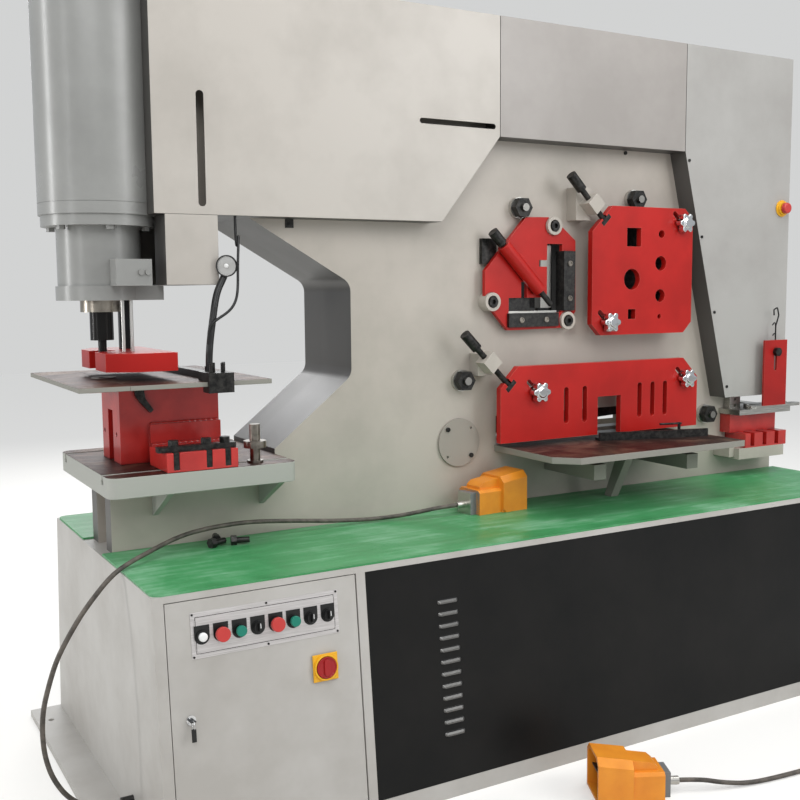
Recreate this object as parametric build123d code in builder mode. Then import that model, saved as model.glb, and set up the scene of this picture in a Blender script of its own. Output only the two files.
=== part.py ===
"""Hydraulic ironworker: a punching station in a deep throat on the left, angle, bar and plate shears
in the middle, a notcher on the right, all on a sheet steel cabinet, with two foot switches.

Lengths are millimetres. The part's frame has its origin on the floor under the middle of the cabinet,
+X along the cabinet to the notcher, +Y from the front to the back, +Z up. Places inside the machine are
given from the cabinet's left end, its front top edge and the floor, and at() brings them into that frame.
"""

from build123d import *
from math import copysign, cos, hypot, radians, sin, sqrt, tan
import os

os.makedirs("parts", exist_ok=True)

# Cabinet
base_length = 2510.0
base_depth = 976.0
base_height = 625.0
base_batter = 65.0
base_wall = 5.0
rail_height = 43.0
rail_depth = 40.0
top_rail = 15.0
post_depth = 30.0
bearer_width = 60.0
bearer_places = (950.0, 1255.0, 1450.0)
foot_width = 90.0
foot_thickness = 18.0
anchor_radius = 9.0
anchor_outset = 50.0
anchor_edge = 108.0
mat_thickness = 5.0
mat_margin = 3.0
mat_corner = 25.0

# Door and panels in the leaning front
front_sheet = 2.0
door_left = 29.0
door_right = 505.0
door_depth = 18.0
door_gap = 2.0
door_foot_gap = 2.6
door_hinge_gap = 4.0
hinge_pin_radius = 4.0
hinge_pin_length = 12.0
hinge_inset = 8.0
panel_left = 534.0
panel_right = 2484.0
panel_gap = 0.4
panel_return = 14.0
louvre_count = 12
louvre_pitch = 31.0
louvre_width = 62.0
louvre_height = 14.0
louvre_rise = 6.0
louvre_x = 767.0
louvre_foot = 158.0
louvre_slit = 4.0

# Control plate
control_left = 85.0
control_length = 369.0
control_foot = 478.0
control_height = 105.0
control_sheet = 1.5
inner_plate_margin = 9.0
inner_plate_clip = 10.0
device_first = 110.0
device_pitch = 45.0
device_line = 527.0
name_plate_width = 36.0
name_plate_reach = 25.5
name_plate_thickness = 1.0
bezel_radius = 14.5
bezel_bore = 10.3
bezel_height = 4.0
barrel_radius = 10.9
barrel_length = 26.0
contact_block = 28.0
contact_length = 30.0
stem_radius = 5.0
stem_clearance = 0.05
push_travel = 4.0
push_neck = 10.0
mushroom_radius = 17.0
mushroom_height = 12.0
green_cap_radius = 12.5
green_cap_height = 9.0
selector_disc_radius = 12.0
selector_disc_height = 5.0
selector_bar_width = 7.0
selector_bar_height = 9.0
lamp_lens_radius = 9.5
main_switch_x = 410.0
main_switch_line = 402.0
main_switch_plate = 62.0
main_switch_knob_radius = 21.0
lock_x = 73.0
lock_line = 344.0
lock_radius = 9.0
lock_cam_reach = 7.0
lock_cam_width = 14.0

# Power pack in the cabinet: oil tank, motor and valve block
tank = ((900.0, 1500.0), (250.0, 700.0), 300.0)
motor_place = (1080.0, 480.0)
motor_radius = 95.0
motor_height = 210.0
valve_block = ((1260.0, 1400.0), (400.0, 560.0), 90.0)

# Frame: two thick plates with the shear beam between them
frame_front = 447.0
frame_plate = 55.0
frame_gap = 88.0
frame_left = 30.0
frame_right = 2490.0
frame_end = 2460.0
frame_top = 2040.0
arm_left = 204.0
table_seat = 797.0
throat_roof = 1499.0
throat_roof_end = 427.0
throat_back = 734.0
throat_back_top = 1321.0
throat_back_foot = 1057.0
throat_lip_height = 863.0
throat_round = 42.0
throat_strip = 12.0
shoulder_gap = 0.4
notch_slot_left = 2300.0
notch_slot_foot = 835.0
notch_slot_top = 914.0
cylinder_window = ((2125.0, 2375.0), (1630.0, 1990.0))
angle_window = ((1290.0, 1500.0), (1190.0, 1450.0))
bar_window = ((1650.0, 1920.0), (1185.0, 1510.0))
plate_window = ((1240.0, 2000.0), (815.0, 905.0))
rear_window = ((1240.0, 2000.0), (815.0, 1510.0))
pin_cover_radius = 74.0
pin_cover_thickness = 8.0
gib_places = ((1320.0, 1551.0), (1791.0, 1592.0), (1107.0, 1024.0), (2141.0, 854.0))
gib_washer_radius = 33.0
gib_washer_thickness = 12.0
gib_nut = 56.0
gib_nut_height = 26.0
gib_stud_radius = 12.0
cover_screws = ((1976.0, 1724.0), (2041.0, 1472.0), (2109.0, 1215.0), (2178.0, 953.0))
frame_screw = (1758.0, 1744.0)
frame_tab = (547.0, 1485.0)
boss_head_radius = 16.0

# Covers in front of the frame, behind it and over it
cover_front = 375.0
cover_sheet = 3.0
cover_top = 2102.0
cover_left = 148.0
cover_foot = 1497.0
cover_diagonal = 1000.0
cover_seam = 1204.0
cover_step = 1752.0
cover_right = 1957.0
cover_gap = 1.5
end_cover_foot = 914.0
end_cover_slant = 2172.0
end_cover_right = 2472.0
rear_cover_back = 765.0
rear_cover_foot = 640.0
stroke_slot = (275.0, 1518.0, 1808.0)
stroke_slot_width = 20.0
length_slot = (926.0, 1188.0, 1780.0)
length_slot_width = 15.0
nose = ((175.0, 315.0), (1318.0, 1496.6))
nose_back = 717.0
estop_place = (2431.0, 1579.0)
estop_collar_radius = 22.0
estop_collar_height = 13.0
estop_head_radius = 19.0
estop_head_height = 15.0
estop_travel = 4.0

# Punch cylinder and its tools, all on one upright axis
punch_x = 50.0
punch_y = 546.0
barrel_r = 148.0
barrel_foot = 1496.0
barrel_seam = 1525.0
barrel_top = 2160.0
cap_radius = 120.0
cap_height = 14.0
saddle_reach = 70.0
saddle_foot = 1560.0
saddle_top = 2000.0
ring_radius = 142.5
ring_foot = 1468.0
housing_radius = 106.0
housing_foot = 1317.0
flange_foot = 1280.0
flange_radius = 112.0
flange_right = 192.0
flange_half_depth = 88.0
guide_block = ((49.0, 140.0), (1316.5, 1383.0))
guide_block_front = 380.0
ram_radius = 40.0
ram_clearance = 0.05
ram_collar_radius = 52.5
ram_collar_foot = 1250.0
holder_radius = 30.0
holder_foot = 1176.0
punch_nut = 46.0
punch_radius = 11.0
punch_foot = 1112.0
stripper_foot = 1100.0
stripper_top = 1147.0
stripper_left = 22.0
stripper_right = 196.0
stripper_half_depth = 178.0
stripper_slot = 66.0
stripper_post = (112.0, 146.0)
stripper_post_thickness = 18.0
stripper_post_y = 600.0
stripper_rod_radius = 4.5
stripper_rods = ((86.0, 470.0), (108.0, 470.0))

# Punching tables and die bed
table_left = -12.0
table_right = 490.0
table_front = 288.0
table_back = 822.0
table_thickness = 53.0
table_corner = 28.0
t_slot_mouth = 14.0
t_slot_throat = 22.0
t_slot_depth = 24.0
t_slot_places = (352.0, 760.0)
gusset_thickness = 16.0
gusset_places = (139.0, 440.0)
gusset_reach = 150.0
gusset_drop = 84.0
bed_left = 71.0
bed_right = 342.0
bed_front = 482.0
bed_back = 662.0
bed_slot = (552.0, 600.0)
bed_slot_top = 988.0
bed_step_left = 148.0
bed_apron = 14.0
bed_apron_tops = (953.0, 899.0)
bed_bolt_radius = 6.0
bed_bolts = ((926.0, 519.0), (926.0, 640.0))
bed_head_reach = 52.0
bed_head_half = 56.0
bed_head_thickness = 22.0
upper_left = -80.0
upper_right = 409.0
upper_front = 262.0
upper_back = 850.0
upper_top = 1076.0
upper_thickness = 12.0
upper_seam = 43.0
die_radius = 32.0
die_depth = 16.0
die_rise = 2.0
die_bore = 12.5
slug_radius = 14.0
block_left = 135.0
block_right = 323.0
block_front = 289.0
block_depth = 150.0
block_height = 50.0
block_slots = (160.0, 246.0, 296.0)
block_slot_width = 15.0
tool_x = 388.0
tool_y = 337.0
tool_steps = ((21.0, 6.0), (13.5, 34.0), (30.0, 18.0), (14.0, 44.0))
strap = ((118.0, 322.0), (302.0, 328.0), 14.0)
bolt_flats = 24.0
bolt_head = 15.0
loose_bolts = ((262.0, 352.0, 20.0), (292.0, 385.0, 75.0), (322.0, 358.0, -15.0))
loose_bolt_radius = 8.0
loose_bolt_length = 34.0
gauge_x = (236.0, 302.0)
gauge_y = (250.0, 330.0)
gauge_z = (1048.0, 1098.0)
gauge_jaw = 296.0
gauge_rail_x = (258.0, 282.0)
gauge_rail_back = 760.0
gauge_rail_height = 18.0
gauge_pins = ((248.0, 268.0), (262.0, 292.0), (280.0, 272.0), (292.0, 300.0))
gauge_pin_radius = 5.0
gauge_pin_height = 24.0
lamp_radius = 28.0
lamp_neck_radius = 9.0
lamp_lead_radius = 3.5
lamp_head = (328.0, 352.0, 1366.0)

# Shear stations
guard_front = 365.0
guard_thickness = 22.0
seat_gap = 0.3
bar_left = 1555.0
bar_right = 1989.0
bar_foot = 1150.0
bar_top = 1563.0
bar_corner = 36.0
bar_notch_corner = 82.0
bar_square_big = (1729.0, 1465.0, 60.0)
bar_square_small = (1723.0, 1216.0, 32.0)
bar_rounds = ((1849.0, 1477.0, 13.0), (1847.0, 1381.0, 24.0), (1722.0, 1329.0, 34.0),
              (1846.0, 1275.0, 21.0), (1844.0, 1206.0, 8.0))
bar_knobs = ((1938.0, 1514.0), (1620.0, 1192.0))
bar_screw = (1562.0, 1566.0)
bar_head_reach = 69.0
bar_arm = ((1516.0, 1575.0), (1516.0, 1620.0))
plate_left = 1201.0
plate_right = 2024.0
plate_foot = 829.0
plate_top = 1064.0
plate_corner = 66.0
plate_slots = (1455.0, 1530.0, 1763.0, 1820.0, 1876.0)
plate_slot_foot = 874.0
plate_slot_top = 990.0
plate_slot_width = 19.0
plate_doorway = ((1584.0, 1681.0), 952.0)
plate_knobs = ((1339.0, 982.0), (1962.0, 995.0))
plate_screw = (1165.0, 1080.0)
plate_head_reach = 106.0
plate_arm = ((1142.0, 1203.0), (1038.0, 1106.0))
knob_radius = 33.0
knob_lobe = 9.0
knob_height = 24.0
stud_radius = 7.0
stud_slot = 16.5
stud_collar_radius = 15.0
slot_travel = 44.0
screw_plane = 376.0
screw_radius = 9.0
screw_cap_radius = 16.0
screw_cap_length = 62.0
screw_block = 48.0
t_head_width = 42.0
t_head_length = 15.0
t_head_gap = 0.3
angle_front = 415.0
angle_thickness = 16.0
angle_outline = [
    (1178, 1277),
    (1207, 1234),
    (1263, 1173),
    (1479, 1176),
    (1530, 1227),
    (1527, 1453),
    (1477, 1492),
    (1418, 1524),
    (1331, 1522),
    (1178, 1357),
]
angle_bars = (((1474.0, 1519.0), (1231.0, 1419.0)), ((1261.0, 1454.0), (1183.0, 1225.0)))
angle_legs = (((1414.0, 1474.0), (1226.0, 1441.0)), ((1266.0, 1474.0), (1225.0, 1273.0)))
angle_slots = (((1383.0, 1448.0), (1370.0, 1390.0)), ((1314.0, 1336.0), (1266.0, 1322.0)))
angle_boss_radius = 28.5
angle_bosses = ((1437.0, 1497.0), (1493.0, 1199.0), (1201.0, 1262.0))
angle_boss_front = 405.0
angle_tube = ((1235.0, 1434.0), (1373.0, 1296.0))
angle_tube_radius = 21.0
angle_screw_end = (1417.0, 1252.0)
angle_block = ((1178.0, 1231.0), (1378.0, 1455.0))
angle_cap_gap = 8.0
angle_cap_length = 48.0

# Shear beam, on a pivot behind the round cover
pivot_x = 1099.0
pivot_z = 833.0
pivot_radius = 60.0
pivot_clearance = 0.05
pivot_boss = 94.0
beam_thickness = 60.0
beam_right = 2430.0
beam_top = 1570.0
beam_left = 1010.0
beam_edge_left = 838.0
beam_edge_right = 878.0
beam_arm_foot = 960.0
beam_pad = ((2150.0, 2330.0), 1420.0)
beam_hole_margin = 1.0
angle_blade = ((1415.0, 1457.0), (1240.0, 1438.0))
angle_blade_front = 450.0
shear_clearance = 0.3
lower_blade_height = 45.0
shear_cylinder_x = 2250.0
shear_cylinder_radius = 112.0
shear_cylinder_foot = 1650.0
shear_cylinder_top = 1980.0
shear_rod_radius = 42.0
shear_rod_crown = 300.0
shear_rod_stroke = 80.0

# Shear table
shear_table_left = 1234.0
shear_table_right = 1964.0
shear_table_front = 95.0
shear_table_top = 814.0
shear_table_thickness = 20.0
shear_table_clip = 60.0
arm_tube = 48.0
arm_wall = 4.0
arm_places = (1432.0, 1818.0)
arm_front = 200.0
arm_top = 766.0
strut_x = 1619.0
strut_front = 335.0
strut_half = 16.0
guide_place = (1562.0, 328.0)
guide_turn = -16.0
guide_length = 385.0
guide_leg = 34.0
guide_rise = 26.0
guide_thickness = 8.0

# Notcher
notch_front = 350.0
notch_bracket = ((2221.0, 2450.0), (692.0, 731.0))
notch_cheek = ((2196.0, 2221.0), 372.0, (700.0, 748.0))
notch_red = ((2252.0, 2461.0), 782.0)
notch_riser = ((2226.0, 2460.0), 400.0)
notch_bed = ((2219.0, 2480.0), (350.0, 700.0))
notch_bed_foot = 850.0
notch_bed_thickness = 18.0
notch_arms = ((2290.0, 2545.0, 352.0), (2325.0, 2535.0, 402.0))
notch_arm_width = 38.0
notch_arm_thickness = 10.0
notch_slots = (2288.0, 2350.0, 2412.0)
notch_slot_width = 20.0
notch_post = ((2243.0, 2295.0), 908.0)
notch_post_depth = 29.0
notch_guard_plate = ((2327.0, 2442.0), (878.0, 1112.0))
notch_guard_front = 340.0
notch_guard_thickness = 8.0
notch_guard_travel = 60.0
notch_knob = (2384.0, 1070.0)
notch_knob_radius = 15.0
notch_punch = ((2340.0, 2420.0), 894.0)
notch_die_margin = 10.0
hook_wire = 2.5

# Foot switches and cables
pedal_width = 120.0
pedal_hood = 92.0
pedal_side = 102.0
pedal_top = 120.0
pedal_drop = 12.0
pedal_chamfer = 18.0
pedal_heel = 84.0
pedal_heel_width = 100.0
pedal_cheek = 74.0
pedal_lid = ((-70.0, 0.0), 32.0, 98.0)
pedal_base = 8.0
pedal_wall = 6.0
pedal_notch_radius = 9.0
pedal_back = ((-104.0, -84.0), 31.0, 66.0)
pedal_gland_height = 30.0
pedal_pin = (-48.0, 30.0)
pedal_pin_radius = 4.0
treadle_tilt = 14.0
treadle_end = 82.0
treadle_thickness = 5.0
mat_pedal = (1165.0, 363.0, 4.0)
floor_pedal = (1150.0, -275.0, 153.7)
cable_radius = 6.0
gland_radius = 11.0
gland_length = 30.0
gland_straight = 60.0
cable_exit_left = (0.0, 210.0, 70.0)
cable_exit_right = (base_length, 210.0, 120.0)
mat_cable_route = [
    (905, 360, 652),
    (835, 386, 641),
    (740, 401, 640),
    (630, 402, 650),
    (512, 400, 665),
    (387, 390, 679),
    (299, 375, 681),
    (214, 357, 678),
    (151, 334, 669),
    (92, 300, 658),
    (35, 265, 648),
    (-6, 240, 637),
    (-33, 231, 621),
    (-65, 226, 590),
    (-102, 222, 548),
    (-134, 219, 502),
    (-165, 217, 449),
    (-184, 216, 395),
    (-200, 215, 339),
    (-205, 214, 281),
    (-201, 213, 221),
    (-184, 212, 162),
    (-148, 211, 105),
    (-92, 210, 70),
]
floor_cable_route = [
    (1374, -384, 18),
    (1450, -408, 6.6),
    (1560, -424, 6.6),
    (1690, -434, 6.6),
    (1830, -430, 6.6),
    (1970, -405, 6.6),
    (2100, -360, 6.6),
    (2220, -300, 6.6),
    (2330, -228, 6.6),
    (2430, -165, 6.6),
    (2532, -128, 6.6),
    (2622, -68, 6.6),
    (2674, 20, 7),
    (2692, 100, 14),
    (2694, 160, 46),
    (2668, 200, 90),
    (2614, 210, 120),
]

# Values that follow from the ones above
mat_top = base_height + mat_thickness
frame_gap_front = frame_front + frame_plate
rear_plate_front = frame_gap_front + frame_gap
frame_back = rear_plate_front + frame_plate
frame_middle = frame_gap_front + frame_gap / 2
slope_length = hypot(base_height, base_batter)
table_top = table_seat + table_thickness
guard_back = guard_front + guard_thickness
upper_foot = upper_top - upper_thickness
table_underside = shear_table_top - shear_table_thickness
panel_foot = rail_height * slope_length / base_height
panel_head = (base_height - top_rail) * slope_length / base_height
gland_mouth = (pedal_back[0][0] - gland_length, 0, pedal_gland_height)
gland_lead = (pedal_back[0][0] - gland_length - gland_straight, 0, pedal_gland_height)


def at(x, y, z=0.0):
    """Bring a place in the machine into the part's own frame."""
    return Vector(x - base_length / 2, y - base_depth / 2, z)


def front(y):
    """Plane for shapes seen from the front: sketch X along the machine, sketch Y up, extruding forwards."""
    return Plane(origin=at(0, y), x_dir=(1, 0, 0), z_dir=(0, -1, 0))


def front_at(x, y, z):
    """The front plane with its origin on a point."""
    return Plane(origin=at(x, y, z), x_dir=(1, 0, 0), z_dir=(0, -1, 0))


def side(x):
    """Plane for shapes seen from the right: sketch X to the back, sketch Y up, extruding to the right."""
    return Plane(origin=at(x, 0), x_dir=(0, 1, 0), z_dir=(1, 0, 0))


def plan(z):
    """Plane for shapes seen from above, extruding upwards."""
    return Plane(origin=at(0, 0, z))


def plan_at(x, y, z):
    """The plan plane with its origin on a point."""
    return Plane(origin=at(x, y, z))


lean = Plane(origin=at(0, -base_batter), x_dir=(1, 0, 0), z_dir=(0, -base_height, base_batter))


def lean_at(x, up, rise=0.0):
    """Plane on the leaning front, at a length up its slope and a height over its sheet."""
    return Plane(origin=lean.from_local_coords((x, up, rise)), x_dir=(1, 0, 0), z_dir=lean.z_dir)


def batter_at(z):
    """How far the front or the back stands out at a height."""
    return base_batter * (1 - z / base_height)


def slab(x, y, z, mode=Mode.ADD):
    """A block between pairs of places in the machine."""
    with Locations(at((x[0] + x[1]) / 2, (y[0] + y[1]) / 2, (z[0] + z[1]) / 2)):
        Box(x[1] - x[0], y[1] - y[0], z[1] - z[0], mode=mode)


def plate(place, points, thickness, mode=Mode.ADD):
    """A plate of the given outline."""
    with BuildSketch(place) as profile:
        Polygon(*points, align=None)
    extrude(profile.sketch, amount=thickness, mode=mode)


def round_bar(place, radius, length, mode=Mode.ADD):
    """A round bar, or with Mode.SUBTRACT a round hole."""
    with BuildSketch(place) as profile:
        Circle(radius)
    extrude(profile.sketch, amount=length, mode=mode)


def hex_bar(place, across_flats, length, mode=Mode.ADD):
    """A hexagonal bar, such as a bolt head or a nut."""
    with BuildSketch(place) as profile:
        RegularPolygon(across_flats / 2, 6, major_radius=False)
    extrude(profile.sketch, amount=length, mode=mode)


def window(place, x, z, depth):
    """A rectangular hole through what lies behind a front plane."""
    with BuildSketch(place) as profile:
        with Locations(((x[0] + x[1]) / 2, (z[0] + z[1]) / 2)):
            Rectangle(x[1] - x[0], z[1] - z[0])
    extrude(profile.sketch, amount=-depth, mode=Mode.SUBTRACT)


def slot_45(place, x, z, length, width, depth):
    """A slot that runs up to the left at 45 degrees from its lower end."""
    reach = length / 2 / sqrt(2)
    with BuildSketch(place) as profile:
        with Locations(Location((x - reach, z + reach), 135)):
            SlotCenterToCenter(length, width)
    extrude(profile.sketch, amount=-depth, mode=Mode.SUBTRACT)


def keep(builder, name):
    """Name a finished piece and write it out."""
    builder.part.label = name
    export_step(builder.part, f"parts/{name}.step")


# Cabinet, one welded shell with its posts, bearers and foot flanges
cabinet_side = [(-base_batter, 0), (base_depth + base_batter, 0), (base_depth, base_height), (0, base_height)]
shell_foot = batter_at(rail_height) - base_wall
shell_head = base_height - base_wall
cabinet_inside = [
    (-shell_foot, rail_height),
    (base_depth + shell_foot, rail_height),
    (base_depth + batter_at(shell_head) - base_wall, shell_head),
    (-batter_at(shell_head) + base_wall, shell_head),
]
door_opening = (door_left - door_gap, door_right + door_hinge_gap)
panel_opening = (panel_left - panel_gap, panel_right + panel_gap)
foot_ends = ((-foot_width, 0.0), (base_length, base_length + foot_width))
hinge_x = door_right - hinge_inset
hinge_rise = -hinge_inset
door_foot = panel_foot + door_foot_gap
door_head = panel_head - door_gap

with BuildPart() as base_frame:
    plate(side(0), cabinet_side, base_length)
    plate(side(base_wall), cabinet_inside, base_length - 2 * base_wall, Mode.SUBTRACT)
    slab(
        (rail_depth, base_length - rail_depth),
        (rail_depth - base_batter, base_depth + base_batter - rail_depth),
        (0, rail_height),
        Mode.SUBTRACT,
    )
    for opening in (door_opening, panel_opening):
        window(lean, opening, (panel_foot, panel_head), 3 * base_wall)
    post_middle = (door_opening[1] + panel_opening[0]) / 2
    with BuildSketch(lean):
        with Locations((post_middle, (panel_foot + panel_head) / 2)):
            Rectangle(panel_opening[0] - door_opening[1], panel_head - panel_foot)
    extrude(amount=-post_depth)
    for place in bearer_places:
        slab(
            (place - bearer_width / 2, place + bearer_width / 2),
            (rail_depth - base_batter - 1, base_depth + base_batter - rail_depth + 1),
            (0, rail_height),
        )
    for end in foot_ends:
        slab(end, (-base_batter, base_depth + base_batter), (0, foot_thickness))
        out = end[0] + foot_width - anchor_outset if end[0] < 0 else end[0] + anchor_outset
        for edge in (anchor_edge - base_batter, base_depth + base_batter - anchor_edge):
            round_bar(plan_at(out, edge, 0), anchor_radius, foot_thickness, Mode.SUBTRACT)
    for up, length in ((panel_foot, hinge_pin_length), (panel_head, -hinge_pin_length)):
        foot = lean.from_local_coords((hinge_x, up, hinge_rise))
        round_bar(Plane(origin=foot, z_dir=lean.y_dir), hinge_pin_radius, length)
keep(base_frame, "base_frame")

# Ribbed mat on the cabinet's top, cut round the frame
with BuildPart() as rubber_mat:
    for y in ((mat_margin, frame_front - mat_margin), (frame_back + mat_margin, base_depth - mat_margin)):
        slab((mat_margin, base_length - mat_margin), y, (base_height, mat_top))
    uprights = rubber_mat.edges().filter_by(Axis.Z).group_by(Axis.Y)
    fillet(uprights[0] + uprights[-1], mat_corner)
keep(rubber_mat, "rubber_mat")

# Charcoal front panel with pressed louvres, each open along its lower edge
with BuildPart() as louvred_panel:
    middle = ((panel_left + panel_right) / 2, (panel_foot + panel_head) / 2)
    tall = panel_head - panel_foot - 2 * panel_gap
    with BuildSketch(lean):
        with Locations(middle):
            Rectangle(panel_right - panel_left, tall)
    extrude(amount=-panel_return)
    with BuildSketch(lean.offset(-front_sheet)):
        with Locations(middle):
            Rectangle(panel_right - panel_left - 2 * front_sheet, tall - 2 * front_sheet)
    extrude(amount=-panel_return, mode=Mode.SUBTRACT)
    for row in range(louvre_count):
        foot = louvre_foot + row * louvre_pitch
        hood = lean_at(louvre_x, foot)
        with BuildSketch(hood):
            with Locations((0, louvre_height / 2)):
                SlotOverall(louvre_width, louvre_height)
        with BuildSketch(hood.offset(louvre_rise)):
            with Locations((0, louvre_height / 2 - 3)):
                SlotOverall(louvre_width - 12, 4)
        loft()
        window(lean.offset(louvre_rise), (louvre_x - louvre_width / 2, louvre_x + louvre_width / 2),
               (foot - 4, foot + 2), louvre_rise - 0.01)
        window(lean, (louvre_x - louvre_width / 2 + 8, louvre_x + louvre_width / 2 - 8),
               (foot + 2, foot + 2 + louvre_slit), front_sheet)
keep(louvred_panel, "louvred_panel")

# Frame plates, with the throat, the shear windows and a notch at the right end for the notcher's bed
shoulder_x = table_right + shoulder_gap
frame_outline = [
    (frame_left, base_height),
    (frame_right, base_height),
    (frame_right, notch_slot_foot),
    (notch_slot_left, notch_slot_foot),
    (notch_slot_left, notch_slot_top),
    (frame_end, notch_slot_top),
    (frame_end, frame_top),
    (arm_left, frame_top),
    (arm_left, throat_roof),
    (throat_roof_end, throat_roof),
    (throat_back, throat_back_top),
    (throat_back, throat_back_foot),
    (shoulder_x, throat_lip_height),
    (shoulder_x, table_seat),
    (frame_left, table_seat),
]
frame_windows = (angle_window, bar_window, plate_window, cylinder_window)


def frame_sheet(place, points, thickness):
    """A plate with the throat's two back corners rounded."""
    with BuildSketch(place) as profile:
        Polygon(*points, align=None)
        fillet(profile.vertices().filter_by_position(Axis.X, throat_back - 1, throat_back + 1), throat_round)
    extrude(profile.sketch, amount=thickness)


with BuildPart() as front_side_plate:
    frame_sheet(front(frame_gap_front), frame_outline, frame_plate)
    for x, z in frame_windows:
        window(front(frame_front), x, z, frame_plate)
    round_bar(front_at(pivot_x, frame_gap_front, pivot_z), pivot_radius + pivot_clearance, frame_plate,
              Mode.SUBTRACT)
    with BuildSketch(front_at(pivot_x, frame_front, pivot_z)) as profile:
        Circle(pin_cover_radius)
        with PolarLocations(pin_cover_radius - 14, 4, start_angle=45):
            Circle(4, mode=Mode.SUBTRACT)
    extrude(profile.sketch, amount=pin_cover_thickness)
    for x, z in gib_places:
        round_bar(front_at(x, frame_front, z), gib_washer_radius, gib_washer_thickness)
keep(front_side_plate, "front_side_plate")

# Rear plate with the strip that closes the throat and the pivot pin, all welded to it
with BuildPart() as rear_side_plate:
    frame_sheet(front(frame_back), frame_outline, frame_plate)
    for x, z in frame_windows:
        window(front(rear_plate_front), x, z, frame_plate)
    strip_run = [
        (arm_left, throat_roof),
        (throat_roof_end, throat_roof),
        (throat_back, throat_back_top),
        (throat_back, throat_back_foot),
        (shoulder_x, throat_lip_height),
    ]
    strip_back = [
        (shoulder_x, throat_lip_height - 2 * throat_strip),
        (throat_back + throat_strip, throat_back_foot - throat_strip / 2),
        (throat_back + throat_strip, throat_back_top + throat_strip / 2),
        (throat_roof_end + throat_strip / 2, throat_roof + throat_strip),
        (arm_left, throat_roof + throat_strip),
    ]
    with BuildSketch(front(rear_plate_front)) as profile:
        Polygon(*reversed(strip_run + strip_back), align=None)
        fillet(profile.vertices().filter_by_position(Axis.X, throat_back - 1, throat_back + 1), throat_round)
    extrude(profile.sketch, amount=frame_gap)
    pin_length = frame_back - frame_front
    round_bar(front_at(pivot_x, frame_back, pivot_z), pivot_radius, pin_length)
keep(rear_side_plate, "rear_side_plate")


def tray(place, points, depth, rounded=False):
    """A folded sheet cover: a face with its edges turned back, open towards the plane it starts on."""
    with BuildSketch(place) as shell:
        Polygon(*points, align=None)
        if rounded:
            fillet(shell.vertices().filter_by_position(Axis.X, throat_back - 1, throat_back + 1), throat_round)
    extrude(shell.sketch, amount=depth)
    with BuildSketch(place) as hollow:
        Polygon(*points, align=None)
        if rounded:
            fillet(hollow.vertices().filter_by_position(Axis.X, throat_back - 1, throat_back + 1), throat_round)
        offset(amount=-cover_sheet, kind=Kind.INTERSECTION)
    extrude(hollow.sketch, amount=depth - copysign(cover_sheet, depth), mode=Mode.SUBTRACT)


# Front covers over the arm: left and right sheet, and the nose box under them
cover_depth = frame_front - cover_front
barrel_gap = seat_gap + barrel_r
left_cover = [
    (cover_left, cover_foot),
    (cover_diagonal, cover_foot),
    (cover_seam, cover_step),
    (cover_seam, cover_top),
    (cover_left, cover_top),
]
right_cover = [
    (cover_seam + cover_gap, cover_step),
    (cover_right, cover_step),
    (cover_right, cover_top),
    (cover_seam + cover_gap, cover_top),
]
with BuildPart() as front_covers:
    tray(front(frame_front), left_cover, cover_depth)
    round_bar(plan_at(punch_x, punch_y, cover_foot - 1), barrel_gap, cover_top, Mode.SUBTRACT)
    with BuildSketch(front(cover_front)) as slots:
        with Locations(Location((stroke_slot[0], (stroke_slot[1] + stroke_slot[2]) / 2), 90)):
            SlotOverall(stroke_slot[2] - stroke_slot[1], stroke_slot_width)
        with Locations(((length_slot[0] + length_slot[1]) / 2, length_slot[2])):
            SlotOverall(length_slot[1] - length_slot[0], length_slot_width)
    extrude(slots.sketch, amount=-cover_sheet, mode=Mode.SUBTRACT)
    tray(front(frame_front), right_cover, cover_depth)
    slab(nose[0], (cover_front, nose_back), nose[1])
    slab(
        (nose[0][0] + cover_sheet, nose[0][1] - cover_sheet),
        (cover_front + cover_sheet, nose_back - cover_sheet),
        (nose[1][0] + cover_sheet, nose[1][1]),
        Mode.SUBTRACT,
    )
    round_bar(plan_at(punch_x, punch_y, nose[1][0] - 1), barrel_gap, nose[1][1], Mode.SUBTRACT)
keep(front_covers, "front_covers")

# End cover over the shear cylinder, with the collar of the stop button
end_cover_outline = [
    (end_cover_slant, end_cover_foot),
    (end_cover_right, end_cover_foot),
    (end_cover_right, cover_top),
    (cover_right + cover_gap, cover_top),
    (cover_right + cover_gap, cover_step),
]
with BuildPart() as end_cover:
    tray(front(frame_front), end_cover_outline, cover_depth)
    collar = front_at(estop_place[0], cover_front, estop_place[1])
    round_bar(collar, estop_collar_radius, estop_collar_height)
    round_bar(collar.offset(-cover_sheet), stem_radius + stem_clearance, cover_sheet + estop_collar_height,
              Mode.SUBTRACT)
    boss_length = cover_front - notch_guard_front - notch_guard_thickness - seat_gap
    round_bar(front_at(notch_knob[0], cover_front, notch_knob[1]), 1.6 * stud_radius, boss_length)
keep(end_cover, "end_cover")

with BuildPart() as stop_mushroom:
    head = collar.offset(estop_collar_height + estop_travel + seat_gap)
    with BuildSketch(head) as profile:
        Circle(estop_head_radius)
    extrude(profile.sketch, amount=estop_head_height)
    fillet(stop_mushroom.faces().sort_by(Axis.Y)[0].edges(), 6)
    round_bar(head.offset(-estop_collar_height - estop_travel), stem_radius, estop_collar_height + estop_travel)
keep(stop_mushroom, "stop_mushroom")

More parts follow.
